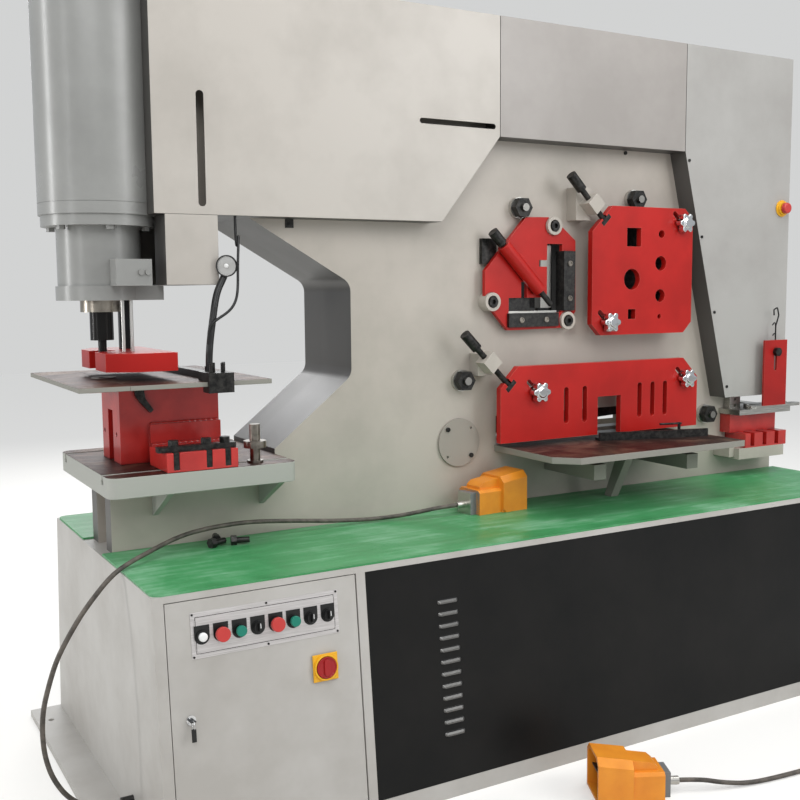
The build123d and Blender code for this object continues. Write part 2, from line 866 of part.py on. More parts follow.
# Rear cover with a roof over the plates and a wall past their right end
rear_outline = [
    (shoulder_x, rear_cover_foot),
    (end_cover_right, rear_cover_foot),
    (end_cover_right, cover_top),
    (cover_left, cover_top),
    (cover_left, throat_roof),
    (throat_roof_end, throat_roof),
    (throat_back, throat_back_top),
    (throat_back, throat_back_foot),
    (shoulder_x, throat_lip_height),
]
with BuildPart() as rear_cover:
    tray(front(frame_back), rear_outline, frame_back - rear_cover_back, True)
    round_bar(plan_at(punch_x, punch_y, cover_foot), barrel_gap, cover_top, Mode.SUBTRACT)
    roof_sheet = (cover_top - cover_sheet, cover_top)
    slab((arm_left, end_cover_right), (frame_front, frame_back), roof_sheet)
    wall_sheet = (end_cover_right - cover_sheet, end_cover_right)
    slab(wall_sheet, (frame_front, frame_back), (end_cover_foot, cover_top))
    slab(wall_sheet, (frame_back - 1, rear_cover_back + 1), (rear_cover_foot - 1, end_cover_foot), Mode.SUBTRACT)
    window(front(rear_cover_back - cover_sheet), *rear_window, cover_sheet)
keep(rear_cover, "rear_cover")

# Punch cylinder with the block that carries it between the frame plates
with BuildPart() as cylinder_barrel:
    round_bar(plan_at(punch_x, punch_y, barrel_foot), barrel_r, barrel_top - barrel_foot)
    fillet(cylinder_barrel.faces().sort_by(Axis.Z)[-1].edges(), 8)
    round_bar(plan_at(punch_x, punch_y, barrel_top), cap_radius, cap_height)
    with BuildSketch(plan_at(punch_x, punch_y, barrel_seam)) as seam:
        Circle(barrel_r + 1)
        Circle(barrel_r - 1.2, mode=Mode.SUBTRACT)
    extrude(seam.sketch, amount=1.6, mode=Mode.SUBTRACT)
    slab((punch_x + barrel_r - saddle_reach, arm_left), (frame_front, frame_back), (saddle_foot, saddle_top))
    ram_room = ring_foot + 2 * (barrel_foot - ring_foot)
    round_bar(plan_at(punch_x, punch_y, barrel_foot), ram_radius + 2, ram_room - barrel_foot, Mode.SUBTRACT)
keep(cylinder_barrel, "cylinder_barrel")

# Ram guide under the cylinder: ring, turned housing, flange and the block that stops the ram turning
with BuildPart() as guide_housing:
    round_bar(plan_at(punch_x, punch_y, ring_foot), ring_radius, barrel_foot - ring_foot)
    round_bar(plan_at(punch_x, punch_y, flange_foot), housing_radius, ring_foot - flange_foot)
    with BuildSketch(plan_at(punch_x, punch_y, flange_foot)) as flange:
        Circle(flange_radius)
        with Locations(((flange_right - punch_x) / 2, 0)):
            Rectangle(flange_right - punch_x, 2 * flange_half_depth)
    extrude(flange.sketch, amount=housing_foot - flange_foot)
    slab(guide_block[0], (guide_block_front, punch_y), guide_block[1])
    round_bar(plan_at(punch_x, punch_y, flange_foot), ram_radius + ram_clearance, barrel_foot - flange_foot,
              Mode.SUBTRACT)
keep(guide_housing, "guide_housing")

# Ram with its collar, tool holder, coupling nut and punch
with BuildPart() as punch_ram:
    ram_top = barrel_foot + 10
    round_bar(plan_at(punch_x, punch_y, ram_collar_foot), ram_radius, ram_top - ram_collar_foot)
    collar_height = flange_foot - seat_gap - ram_collar_foot
    round_bar(plan_at(punch_x, punch_y, ram_collar_foot), ram_collar_radius, collar_height)
    round_bar(plan_at(punch_x, punch_y, holder_foot), holder_radius, ram_collar_foot - holder_foot)
    hex_bar(plan_at(punch_x, punch_y, holder_foot), punch_nut, 22)
    round_bar(plan_at(punch_x, punch_y, punch_foot), punch_radius, holder_foot - punch_foot)
keep(punch_ram, "punch_ram")

# Stripper fork, hung under the flange on a flat post and two rods
with BuildPart() as stripper:
    fork = [
        (stripper_left, punch_y - stripper_half_depth + 40),
        (stripper_left + 70, punch_y - stripper_half_depth),
        (stripper_right, punch_y - stripper_half_depth),
        (stripper_right, punch_y + stripper_half_depth),
        (stripper_left + 40, punch_y + stripper_half_depth),
        (stripper_left, punch_y + stripper_half_depth - 60),
    ]
    plate(plan(stripper_foot), fork, stripper_top - stripper_foot)
    with BuildSketch(plan_at(punch_x, punch_y, stripper_foot)) as throat:
        Circle(stripper_slot / 2)
        with Locations((stripper_left - punch_x, 0)):
            Rectangle(2 * (punch_x - stripper_left), stripper_slot)
    extrude(throat.sketch, amount=stripper_top - stripper_foot, mode=Mode.SUBTRACT)
    slab(stripper_post, (stripper_post_y, stripper_post_y + stripper_post_thickness), (stripper_top, flange_foot))
    for x, y in stripper_rods:
        round_bar(plan_at(x, y, stripper_top), stripper_rod_radius, flange_foot - stripper_top)
keep(stripper, "stripper")


def t_slot(place, length):
    """A T-slot cut down into the face that the place lies on, along the place's own X."""
    with BuildSketch(place) as profile:
        with Locations((0, -t_slot_depth / 2)):
            Rectangle(t_slot_mouth, t_slot_depth)
        with Locations((0, -t_slot_depth + 5)):
            Rectangle(t_slot_throat, 10)
    extrude(profile.sketch, amount=length, mode=Mode.SUBTRACT)


# Lower table with its T-slots and the two gussets that brace it to the front plate
with BuildPart() as lower_table:
    slab((table_left, table_right), (table_front, table_back), (table_seat, table_top))
    fillet(lower_table.edges().filter_by(Axis.Z), table_corner)
    for y in t_slot_places:
        t_slot(Plane(origin=at(table_left, y, table_top), x_dir=(0, 1, 0), z_dir=(1, 0, 0)), table_right - table_left)
    for x in gusset_places:
        gusset = [
            (frame_front - gusset_reach, table_seat),
            (frame_front, table_seat - gusset_drop),
            (frame_front, table_seat),
        ]
        plate(side(x), gusset, gusset_thickness)
keep(lower_table, "lower_table")

# Die bed: a block slotted from end to end, a stepped apron on its front and a head that holds the die
with BuildPart() as die_bed:
    slab((bed_left, bed_right), (bed_front, bed_back), (table_top, upper_foot))
    slab((bed_left - 1, bed_right + 1), bed_slot, (table_top - 1, bed_slot_top), Mode.SUBTRACT)
    for step, top in enumerate(bed_apron_tops):
        slab((bed_step_left, bed_right), (bed_front - (step + 1) * bed_apron, bed_front), (table_top, top))
    slab(
        (punch_x - bed_head_reach, bed_left),
        (punch_y - bed_head_half, punch_y + bed_head_half),
        (upper_foot - bed_head_thickness, upper_foot),
    )
    die_seat = upper_foot - die_depth
    round_bar(plan_at(punch_x, punch_y, die_seat), die_radius + seat_gap, die_depth, Mode.SUBTRACT)
    round_bar(plan_at(punch_x, punch_y, upper_foot), slug_radius, -bed_head_thickness, Mode.SUBTRACT)
    for z, y in bed_bolts:
        round_bar(Plane(origin=at(bed_left, y, z), z_dir=(1, 0, 0)), bed_bolt_radius, 20, Mode.SUBTRACT)
keep(die_bed, "die_bed")

# Upper table in two sheets that meet at a seam, with a round hole for the die
with BuildPart() as upper_table:
    for x in ((upper_left, upper_seam - seat_gap), (upper_seam, upper_right)):
        slab(x, (upper_front, upper_back), (upper_foot, upper_top))
    round_bar(plan_at(punch_x, punch_y, upper_foot), die_radius + seat_gap, upper_thickness, Mode.SUBTRACT)
keep(upper_table, "upper_table")

# Die, sunk in the bed's head and standing a little over the upper table
with BuildPart() as punch_die:
    die_top = upper_top + die_rise
    round_bar(plan_at(punch_x, punch_y, die_seat), die_radius, die_top - die_seat)
    chamfer(punch_die.faces().sort_by(Axis.Z)[-1].edges(), 1.5)
    round_bar(plan_at(punch_x, punch_y, die_seat), die_bore, die_top - die_seat, Mode.SUBTRACT)
keep(punch_die, "punch_die")

# Gauge on the upper table: a clamp over its front edge with thumb screws, and a rail to the back
with BuildPart() as gauge_clamp:
    slab(gauge_x, gauge_y, (upper_top, gauge_z[1]))
    slab(gauge_x, (gauge_y[0], upper_front - seat_gap), gauge_z)
    slab(gauge_x, (gauge_y[0], gauge_jaw), (gauge_z[0], upper_foot - seat_gap))
    slab(gauge_rail_x, (gauge_y[1], gauge_rail_back), (upper_top, upper_top + gauge_rail_height))
    for x, y in gauge_pins:
        round_bar(plan_at(x, y, gauge_z[1]), gauge_pin_radius, gauge_pin_height)
keep(gauge_clamp, "gauge_clamp")

# Bending block with three T-slots from front to back
block_top = table_top + block_height
block_back = block_front + block_depth
with BuildPart() as t_slot_block:
    slab((block_left, block_right), (block_front, block_back), (table_top, block_top))
    for x in block_slots:
        slot_x = (x - block_slot_width / 2, x + block_slot_width / 2)
        slab(slot_x, (block_front - 1, block_back + 1), (table_top + 6, block_top), Mode.SUBTRACT)
        foot_x = (x - block_slot_width, x + block_slot_width)
        slab(foot_x, (block_front + 8, block_back + 1), (table_top + 6, table_top + 20), Mode.SUBTRACT)
keep(t_slot_block, "t_slot_block")

# Black strap with its bolts on the bending block, the table's clamp lever, and three loose bolts on the mat
with BuildPart() as black_bolts:
    slab(strap[0], strap[1], (block_top, block_top + strap[2]))
    strap_middle = (strap[1][0] + strap[1][1]) / 2
    for x in block_slots:
        slot_x = (x - block_slot_width / 2 + seat_gap, x + block_slot_width / 2 - seat_gap)
        slab(slot_x, (block_front + 2, block_front + 40), (table_top + 6, block_top))
        hex_bar(plan_at(x, strap_middle, block_top + strap[2]), bolt_flats, bolt_head)
    lever = [(108, upper_foot), (112, 1030), (128, 1008), (150, 984), (159, 991), (138, 1022), (131, upper_foot)]
    plate(front(bed_front), lever, 12)
    for x, y, turn in loose_bolts:
        axis = Vector(cos(radians(turn)), sin(radians(turn)), 0)
        lying = Plane(origin=at(x, y, mat_top + bolt_flats / 2), x_dir=(0, 0, 1), z_dir=axis)
        with BuildSketch(lying) as head_profile:
            RegularPolygon(bolt_flats / 2, 6, major_radius=False, rotation=30)
        extrude(head_profile.sketch, amount=bolt_head)
        round_bar(lying.offset(bolt_head), loose_bolt_radius, loose_bolt_length)
keep(black_bolts, "black_bolts")

# Spare turned punch standing on the table: foot, shank, flange and stem
with BuildPart() as turned_tool:
    step_foot = table_top
    for radius, height in tool_steps:
        round_bar(plan_at(tool_x, tool_y, step_foot), radius, height)
        step_foot += height
keep(turned_tool, "turned_tool")

# Work lamp on the gauge clamp: bent neck, dished head, and a thin lead from under the cover
with BuildPart() as work_lamp:
    lamp_foot = (gauge_rail_x[0] + gauge_rail_x[1]) / 2
    round_bar(plan_at(lamp_foot, gauge_y[1] + 14, upper_top + gauge_rail_height), 11.5, 16)
    with BuildLine() as neck:
        Spline(
            at(lamp_foot, gauge_y[1] + 14, upper_top + gauge_rail_height + 8),
            at(lamp_foot + 8, gauge_y[1] + 16, 1192),
            at(lamp_foot + 18, gauge_y[1] + 20, 1245),
            at(lamp_head[0] - 22, lamp_head[1] + 8, 1306),
            at(lamp_head[0] + 4, lamp_head[1] + 16, 1358),
            tangents=[(0, 0, 1), (0.3, 0.1, 1)],
        )
    with BuildSketch(Plane(origin=neck.line @ 0, z_dir=neck.line % 0)) as neck_section:
        Circle(lamp_neck_radius)
    sweep(neck_section.sketch, path=neck.line)
    shade = Plane(origin=at(*lamp_head), z_dir=(-0.6, -0.8, -0.05))
    with BuildSketch(shade.offset(-24)) as shade_back:
        Circle(lamp_radius - 12)
    with BuildSketch(shade) as shade_front:
        Circle(lamp_radius)
    loft([shade_back.sketch.face(), shade_front.sketch.face()])
    round_bar(shade, lamp_radius, 6)
    round_bar(shade.offset(6), lamp_radius - 3, -4, Mode.SUBTRACT)
    with BuildLine() as lead:
        Spline(
            at(lamp_foot, gauge_y[1] + 14, 1150),
            at(lamp_foot + 6, gauge_y[1] + 4, 1216),
            at(lamp_foot + 48, gauge_y[1], 1247),
            at(lamp_foot + 86, gauge_y[1] + 16, 1371),
            at(lamp_foot + 98, gauge_y[1] + 40, 1440),
            at(lamp_foot + 98, gauge_y[1] + 60, cover_foot),
            tangents=[(0, -0.2, 1), (0, 0, 1)],
        )
    with BuildSketch(Plane(origin=lead.line @ 0, z_dir=lead.line % 0)) as lead_section:
        Circle(lamp_lead_radius)
    sweep(lead_section.sketch, path=lead.line)
keep(work_lamp, "work_lamp")

# Angle shear plate, with its bar, leg and bolt openings and the tube for its hold-down screw
diagonal = Vector(1, 0, -1).normalized()
angle_back = angle_front + angle_thickness
tube_y = angle_front - angle_tube_radius + 6
tube_length = hypot(angle_tube[1][0] - angle_tube[0][0], angle_tube[1][1] - angle_tube[0][1])
tube = Plane(origin=at(angle_tube[0][0], tube_y, angle_tube[0][1]), z_dir=diagonal)
with BuildPart() as angle_shear_plate:
    plate(front(angle_back), angle_outline, angle_thickness)
    for x, z in angle_bars:
        window(front(angle_front), (x[0] - seat_gap, x[1] + seat_gap), (z[0] - seat_gap, z[1] + seat_gap),
               angle_thickness)
    for x, z in angle_legs + angle_slots:
        window(front(angle_front), x, z, angle_thickness)
    round_bar(tube, angle_tube_radius, tube_length)
    round_bar(tube.offset(-1), screw_radius + stem_clearance, tube_length + 2, Mode.SUBTRACT)
    for x, z in angle_bosses:
        round_bar(front_at(x, angle_back, z), angle_boss_radius + seat_gap, angle_thickness, Mode.SUBTRACT)
keep(angle_shear_plate, "angle_shear_plate")

# Hold-down screw of the angle shear, through the tube
with BuildPart() as angle_clamp_screw:
    screw_reach = (angle_screw_end[0] - angle_tube[0][0]) * sqrt(2)
    round_bar(tube.offset(-angle_cap_gap), screw_radius, screw_reach + angle_cap_gap)
    round_bar(tube.offset(-angle_cap_gap), screw_cap_radius, -angle_cap_length)
keep(angle_clamp_screw, "angle_clamp_screw")

# Fixed blades: the two bars of the angle shear, the die block of the bar shear, the lower plate blade
bar_block_x = (bar_window[0][0] + seat_gap, bar_window[0][1] - seat_gap)
bar_block_z = (bar_window[1][0] + seat_gap, bar_window[1][1] - seat_gap)
with BuildPart() as fixed_blades:
    for x, z in angle_bars:
        slab(x, (angle_boss_front, frame_front), z)
    slab(bar_block_x, (guard_back + seat_gap, frame_gap_front), bar_block_z)
    for x, z, across in (bar_square_big, bar_square_small):
        half = across / 2
        window(front(guard_back), (x - half, x + half), (z - half, z + half), frame_gap_front - guard_back)
    for x, z, radius in bar_rounds:
        round_bar(front_at(x, guard_back, z), radius, guard_back - frame_gap_front, Mode.SUBTRACT)
    blade_back = frame_middle - beam_thickness / 2 - shear_clearance
    slab(plate_window[0], (frame_gap_front, blade_back),
         (plate_window[1][0] - lower_blade_height, plate_window[1][0]))
keep(fixed_blades, "fixed_blades")


def turned_front(x, z, y):
    """A front plane turned so that its X runs down to the right at 45 degrees."""
    return Plane(origin=at(x, y, z), x_dir=diagonal, z_dir=(0, -1, 0))


# Grey brackets on the front plate: arms with drilled square blocks for the guards' screws, three boss tubes
with BuildPart() as shear_brackets:
    for arm, screw in ((bar_arm, bar_screw), (plate_arm, plate_screw)):
        slab(arm[0], (screw_plane + screw_block / 2, frame_front), arm[1])
        with BuildSketch(turned_front(screw[0], screw[1], screw_plane + screw_block / 2)) as block:
            Rectangle(screw_block, screw_block)
        extrude(block.sketch, amount=screw_block)
        through = Plane(origin=at(screw[0], screw_plane, screw[1]), z_dir=diagonal)
        round_bar(through.offset(-screw_block), screw_radius + stem_clearance, 2 * screw_block, Mode.SUBTRACT)
    for x, z in angle_bosses:
        round_bar(front_at(x, frame_front, z), angle_boss_radius, frame_front - angle_boss_front)
        round_bar(front_at(x, angle_boss_front, z), angle_boss_radius - 10, -12, Mode.SUBTRACT)
keep(shear_brackets, "shear_brackets")


def guard_outline(left, right, foot, top, corner, notch_corner, foot_corner):
    """A guard's outline with its corners cut at 45 degrees, wider where the screw's notch is."""
    return [
        (left + foot_corner, foot),
        (right - foot_corner, foot),
        (right, foot + foot_corner),
        (right, top - corner),
        (right - corner, top),
        (left + notch_corner, top),
        (left, top - notch_corner),
        (left, foot + foot_corner),
    ]


def t_notch(x, z, reach):
    """A notch through a guard for the screw's neck and its T-shaped head."""
    head_x = x + reach / sqrt(2)
    head_z = z - reach / sqrt(2)
    with BuildSketch(turned_front(head_x, head_z, guard_front)) as notch:
        Rectangle(t_head_length + 2 * t_head_gap, t_head_width + 2 * t_head_gap)
        with Locations((-reach / 2, 0)):
            Rectangle(reach, 2 * (screw_radius + t_head_gap))
    extrude(notch.sketch, amount=-guard_thickness, mode=Mode.SUBTRACT)


# Bar shear guard with its round and square openings
with BuildPart() as bar_shear_guard:
    outline = guard_outline(bar_left, bar_right, bar_foot, bar_top, bar_corner, bar_notch_corner, bar_corner)
    plate(front(guard_back), outline, guard_thickness)
    for x, z, across in (bar_square_big, bar_square_small):
        half = across / 2
        window(front(guard_front), (x - half, x + half), (z - half, z + half), guard_thickness)
    for x, z, radius in bar_rounds:
        round_bar(front_at(x, guard_front, z), radius, -guard_thickness, Mode.SUBTRACT)
    for x, z in bar_knobs:
        slot_45(front(guard_front), x, z, slot_travel, stud_slot, guard_thickness)
    t_notch(bar_screw[0], bar_screw[1], bar_head_reach)
keep(bar_shear_guard, "bar_shear_guard")

# Plate shear guard with its sight slots and the doorway for a bar
with BuildPart() as plate_shear_guard:
    outline = [
        (plate_left, plate_foot),
        (plate_doorway[0][0], plate_foot),
        (plate_doorway[0][0], plate_doorway[1]),
        (plate_doorway[0][1], plate_doorway[1]),
        (plate_doorway[0][1], plate_foot),
        (plate_right, plate_foot),
        (plate_right, plate_top - plate_corner),
        (plate_right - plate_corner, plate_top),
        (plate_left + plate_corner, plate_top),
        (plate_left, plate_top - plate_corner),
    ]
    plate(front(guard_back), outline, guard_thickness)
    with BuildSketch(front(guard_front)) as slots:
        for x in plate_slots:
            with Locations(Location((x, (plate_slot_foot + plate_slot_top) / 2), 90)):
                SlotOverall(plate_slot_top - plate_slot_foot, plate_slot_width)
    extrude(slots.sketch, amount=-guard_thickness, mode=Mode.SUBTRACT)
    for x, z in plate_knobs:
        slot_45(front(guard_front), x, z, slot_travel, stud_slot, guard_thickness)
    t_notch(plate_screw[0], plate_screw[1], plate_head_reach)
keep(plate_shear_guard, "plate_shear_guard")


def guard_screw(x, z, reach):
    """A guard's screw: knurled cap, rod through the square block, T-shaped head in the guard."""
    axis = Plane(origin=at(x, screw_plane, z), z_dir=diagonal)
    cap_end = -2 * screw_cap_length
    round_bar(axis.offset(cap_end), screw_cap_radius, screw_cap_length)
    round_bar(axis.offset(cap_end), screw_radius, reach - cap_end)
    with BuildSketch(turned_front(x + reach / sqrt(2), z - reach / sqrt(2), guard_front)) as head:
        Rectangle(t_head_length, t_head_width)
    extrude(head.sketch, amount=-guard_thickness)


with BuildPart() as bar_guard_screw:
    guard_screw(bar_screw[0], bar_screw[1], bar_head_reach)
keep(bar_guard_screw, "bar_guard_screw")

with BuildPart() as plate_guard_screw:
    guard_screw(plate_screw[0], plate_screw[1], plate_head_reach)
keep(plate_guard_screw, "plate_guard_screw")

# Chrome star knobs on studs with collars, which hold the guards to the front plate
with BuildPart() as star_knobs:
    for x, z in bar_knobs + plate_knobs:
        round_bar(front_at(x, frame_front, z), stud_collar_radius, frame_front - guard_back - seat_gap)
        round_bar(front_at(x, guard_back + 1, z), stud_radius, guard_thickness + knob_height)
        seat = front_at(x, guard_front - seat_gap, z)
        round_bar(seat, stud_collar_radius, 5)
        with BuildSketch(seat.offset(5)) as lobes:
            Circle(knob_radius - knob_lobe)
            with PolarLocations(knob_radius - knob_lobe, 6):
                Circle(knob_lobe)
        extrude(lobes.sketch, amount=knob_height)
        round_bar(seat.offset(5 + knob_height), stud_collar_radius, 4)
keep(star_knobs, "star_knobs")

# Shear beam between the plates, with its boss, blade tongue, bar holes, notching punch and pad
beam_front = frame_middle - beam_thickness / 2
beam_back = frame_middle + beam_thickness / 2
beam_outline = [
    (beam_left, 790),
    (1175, 800),
    (1240, beam_edge_left),
    (2005, beam_edge_right),
    (2060, 930),
    (2300, 990),
    (2325, beam_arm_foot),
    (beam_right, beam_arm_foot),
    (beam_right, 1250),
    (beam_pad[0][1], beam_pad[1]),
    (beam_pad[0][0], beam_pad[1]),
    (2050, beam_top),
    (1230, beam_top),
    (beam_left, 1100),
]
with BuildPart() as shear_beam:
    plate(front(beam_back), beam_outline, beam_thickness)
    round_bar(front_at(pivot_x, beam_back, pivot_z), pivot_boss, beam_thickness)
    window(front(beam_front), angle_window[0], angle_window[1], beam_thickness)
    slab(angle_blade[0], (angle_blade_front, beam_back), angle_blade[1])
    slab(angle_blade[0], (beam_front, beam_back), (angle_blade[1][1] - 1, angle_window[1][1] + 1))
    for x, z, across in (bar_square_big, bar_square_small):
        half = across / 2 + beam_hole_margin
        window(front(beam_front), (x - half, x + half), (z - half, z + half), beam_thickness)
    for x, z, radius in bar_rounds:
        round_bar(front_at(x, beam_front, z), radius + beam_hole_margin, -beam_thickness, Mode.SUBTRACT)
    slab(notch_punch[0], (beam_front, beam_back), (notch_punch[1], beam_arm_foot))
    round_bar(front_at(pivot_x, beam_back, pivot_z), pivot_radius + pivot_clearance, beam_thickness, Mode.SUBTRACT)
keep(shear_beam, "shear_beam")

# Shear cylinder hung in the plates' windows on its flange
with BuildPart() as shear_cylinder:
    axis_foot = plan_at(shear_cylinder_x, frame_middle, shear_cylinder_foot)
    cylinder_length = shear_cylinder_top - shear_cylinder_foot
    round_bar(axis_foot, shear_cylinder_radius, cylinder_length)
    flange_z = (shear_cylinder_top - 80, shear_cylinder_top - 20)
    slab(
        (cylinder_window[0][0] + seat_gap, cylinder_window[0][1] - seat_gap),
        (frame_front, frame_back),
        flange_z,
    )
    round_bar(axis_foot, shear_rod_radius + ram_clearance, cylinder_length - 60, Mode.SUBTRACT)
keep(shear_cylinder, "shear_cylinder")

# Shear cylinder's rod, its foot crowned so that it rolls on the beam's pad
with BuildPart() as shear_rod:
    rod_foot = beam_pad[1] + seat_gap
    rod_top = shear_cylinder_foot + shear_rod_stroke + 40
    round_bar(plan_at(shear_cylinder_x, frame_middle, rod_foot), shear_rod_radius, rod_top - rod_foot)
    with Locations(at(shear_cylinder_x, frame_middle, rod_foot + shear_rod_crown)):
        Sphere(shear_rod_crown, mode=Mode.INTERSECT)
keep(shear_rod, "shear_rod")

# Shear table on two square tubes, with a cross packer between them and a strut down to the mat
with BuildPart() as shear_table:
    table_outline = [
        (shear_table_left, shear_table_front + shear_table_clip),
        (shear_table_left + shear_table_clip, shear_table_front),
        (shear_table_right, shear_table_front),
        (shear_table_right, frame_front),
        (shear_table_left, frame_front),
    ]
    plate(plan(table_underside), table_outline, shear_table_thickness)
    for x in arm_places:
        slab((x, x + arm_tube), (arm_front, frame_front), (arm_top - arm_tube, arm_top))
        slab(
            (x + arm_wall, x + arm_tube - arm_wall),
            (arm_front + arm_wall, frame_front + 1),
            (arm_top - arm_tube + arm_wall, arm_top - arm_wall),
            Mode.SUBTRACT,
        )
    slab(
        (arm_places[0], arm_places[1] + arm_tube),
        (arm_front + arm_tube, arm_front + 2 * arm_tube),
        (arm_top, table_underside),
    )
    strut = [
        (strut_front - strut_half, mat_top),
        (strut_front + strut_half, mat_top),
        (arm_front + 2 * arm_tube, arm_top),
        (arm_front + arm_tube, arm_top),
    ]
    plate(side(strut_x - strut_half), strut, 2 * strut_half)
keep(shear_table, "shear_table")

# Black angle guide laid across the shear table, with its T-shaped clamp lever
with BuildPart() as angle_guide:
    along = Vector(cos(radians(guide_turn)), sin(radians(guide_turn)), 0)
    rule = Plane(origin=at(guide_place[0], guide_place[1], shear_table_top), x_dir=along, z_dir=(0, 0, 1))
    rule_end = Plane(origin=rule.origin, x_dir=rule.y_dir, z_dir=along)
    leg = [
        (0, 0),
        (guide_leg, 0),
        (guide_leg, guide_thickness),
        (guide_thickness, guide_thickness),
        (guide_thickness, guide_rise),
        (0, guide_rise),
    ]
    plate(rule_end, leg, guide_length)
    lever_foot = rule.from_local_coords((0.75 * guide_length, guide_leg / 2, guide_thickness))
    round_bar(Plane(origin=lever_foot, z_dir=(0, 0, 1)), 5, 40)
    handle_foot = rule.from_local_coords((0.57 * guide_length, guide_leg / 2, guide_thickness + 36))
    round_bar(Plane(origin=handle_foot, z_dir=along), 3.5, 0.2 * guide_length)
keep(angle_guide, "angle_guide")

# Notcher: its bracket on the front plate
notch_back = frame_front - seat_gap
with BuildPart() as notch_table:
    slab(notch_bracket[0], (notch_front, frame_front), notch_bracket[1])
    slab(notch_cheek[0], (notch_cheek[1], frame_front), notch_cheek[2])
keep(notch_table, "notch_table")

# Notcher's slotted block with the riser behind it that carries the bed
with BuildPart() as notch_block:
    slab(notch_red[0], (notch_front, frame_front), (notch_bracket[1][1], notch_red[1]))
    slab(notch_riser[0], (notch_riser[1], frame_front), (notch_red[1], notch_bed_foot))
    for x in notch_slots:
        slot_x = (x - notch_slot_width / 2, x + notch_slot_width / 2)
        slab(slot_x, (notch_front - 1, notch_riser[1]), (notch_bracket[1][1] + 5, notch_red[1]), Mode.SUBTRACT)
keep(notch_block, "notch_block")

# Notcher's bright bed through the slot in the plates, with its die hole, gauge arms and post
notch_top = notch_bed_foot + notch_bed_thickness
with BuildPart() as notch_die:
    bed_outline = [
        (notch_bed[0][0], notch_bed[1][0]),
        (notch_bed[0][1], notch_bed[1][0]),
        (notch_bed[0][1], notch_bed[1][1]),
        (notch_slot_left + seat_gap, notch_bed[1][1]),
        (notch_slot_left + seat_gap, notch_back),
        (notch_bed[0][0], notch_back),
    ]
    plate(plan(notch_bed_foot), bed_outline, notch_bed_thickness)
    for y in ((frame_front, frame_gap_front), (rear_plate_front, frame_back)):
        slab((notch_slot_left + seat_gap, notch_bed[0][1]), y, (notch_slot_foot, notch_bed_foot))
    slab(
        (notch_punch[0][0] - notch_die_margin, notch_punch[0][1] + notch_die_margin),
        (beam_front - notch_die_margin, beam_back + notch_die_margin),
        (notch_slot_foot, notch_top),
        Mode.SUBTRACT,
    )
    for left, right, y in notch_arms:
        with BuildSketch(plan(notch_top)) as arm:
            with Locations(((left + right) / 2, y + notch_arm_width / 2)):
                SlotOverall(right - left, notch_arm_width)
            with Locations((right - notch_arm_width / 2 - 24, y + notch_arm_width / 2)):
                SlotOverall(48, 12, mode=Mode.SUBTRACT)
        extrude(arm.sketch, amount=notch_arm_thickness)
    slab(notch_post[0], (frame_front - notch_post_depth, notch_back), (notch_top, notch_post[1]))
    post_middle = (notch_post[0][0] + notch_post[0][1]) / 2
    for z in (notch_top + 10, notch_post[1] - 10):
        round_bar(front_at(post_middle, frame_front - notch_post_depth, z), 4.5, -12, Mode.SUBTRACT)
keep(notch_die, "notch_die")

# Notcher's guard, slotted for its stud, with a wire hook to lift it by
with BuildPart() as notch_guard:
    guard_y = (notch_guard_front, notch_guard_front + notch_guard_thickness)
    slab(notch_guard_plate[0], guard_y, notch_guard_plate[1])
    with BuildSketch(front(notch_guard_front)) as slot:
        with Locations(Location((notch_knob[0], notch_knob[1] - notch_guard_travel / 2), 90)):
            SlotCenterToCenter(notch_guard_travel, 2 * stud_radius + 1)
    extrude(slot.sketch, amount=-notch_guard_thickness, mode=Mode.SUBTRACT)
    hook_y = notch_guard_front + notch_guard_thickness / 2
    hook_points = [
        (notch_knob[0], hook_y, notch_guard_plate[1][1] - 8),
        (notch_knob[0], hook_y, notch_guard_plate[1][1] + 50),
        (notch_knob[0] + 14, hook_y, notch_guard_plate[1][1] + 88),
        (notch_knob[0] + 6, hook_y, notch_guard_plate[1][1] + 116),
        (notch_knob[0] - 12, hook_y, notch_guard_plate[1][1] + 108),
        (notch_knob[0] - 10, hook_y, notch_guard_plate[1][1] + 88),
    ]
    with BuildLine() as hook:
        FilletPolyline(*[at(*point) for point in hook_points], radius=5)
    with BuildSketch(Plane(origin=hook.line @ 0, z_dir=hook.line % 0)) as hook_section:
        Circle(hook_wire)
    sweep(hook_section.sketch, path=hook.line)
keep(notch_guard, "notch_guard")

# Cabinet door, a tray on the leaning front that turns on the cabinet's two hinge pins
device_places = [device_first + number * device_pitch for number in range(8)]
with BuildPart() as cabinet_door:
    door_middle = ((door_left + door_right) / 2, (door_foot + door_head) / 2)
    with BuildSketch(lean):
        with Locations(door_middle):
            Rectangle(door_right - door_left, door_head - door_foot)
    extrude(amount=-door_depth)
    with BuildSketch(lean.offset(-front_sheet)):
        with Locations(door_middle):
            Rectangle(door_right - door_left - 2 * front_sheet, door_head - door_foot - 2 * front_sheet)
    extrude(amount=-door_depth, mode=Mode.SUBTRACT)
    for up in (door_foot, door_head - front_sheet):
        foot = lean.from_local_coords((hinge_x, up, hinge_rise))
        round_bar(Plane(origin=foot, z_dir=lean.y_dir), hinge_pin_radius + stem_clearance, front_sheet,
                  Mode.SUBTRACT)
    for x in device_places:
        round_bar(lean_at(x, device_line), barrel_radius + seat_gap, -front_sheet, Mode.SUBTRACT)
    round_bar(lean_at(main_switch_x, main_switch_line), barrel_radius + seat_gap, -front_sheet, Mode.SUBTRACT)
    round_bar(lean_at(lock_x, lock_line), lock_radius + stem_clearance, -front_sheet, Mode.SUBTRACT)
keep(cabinet_door, "cabinet_door")

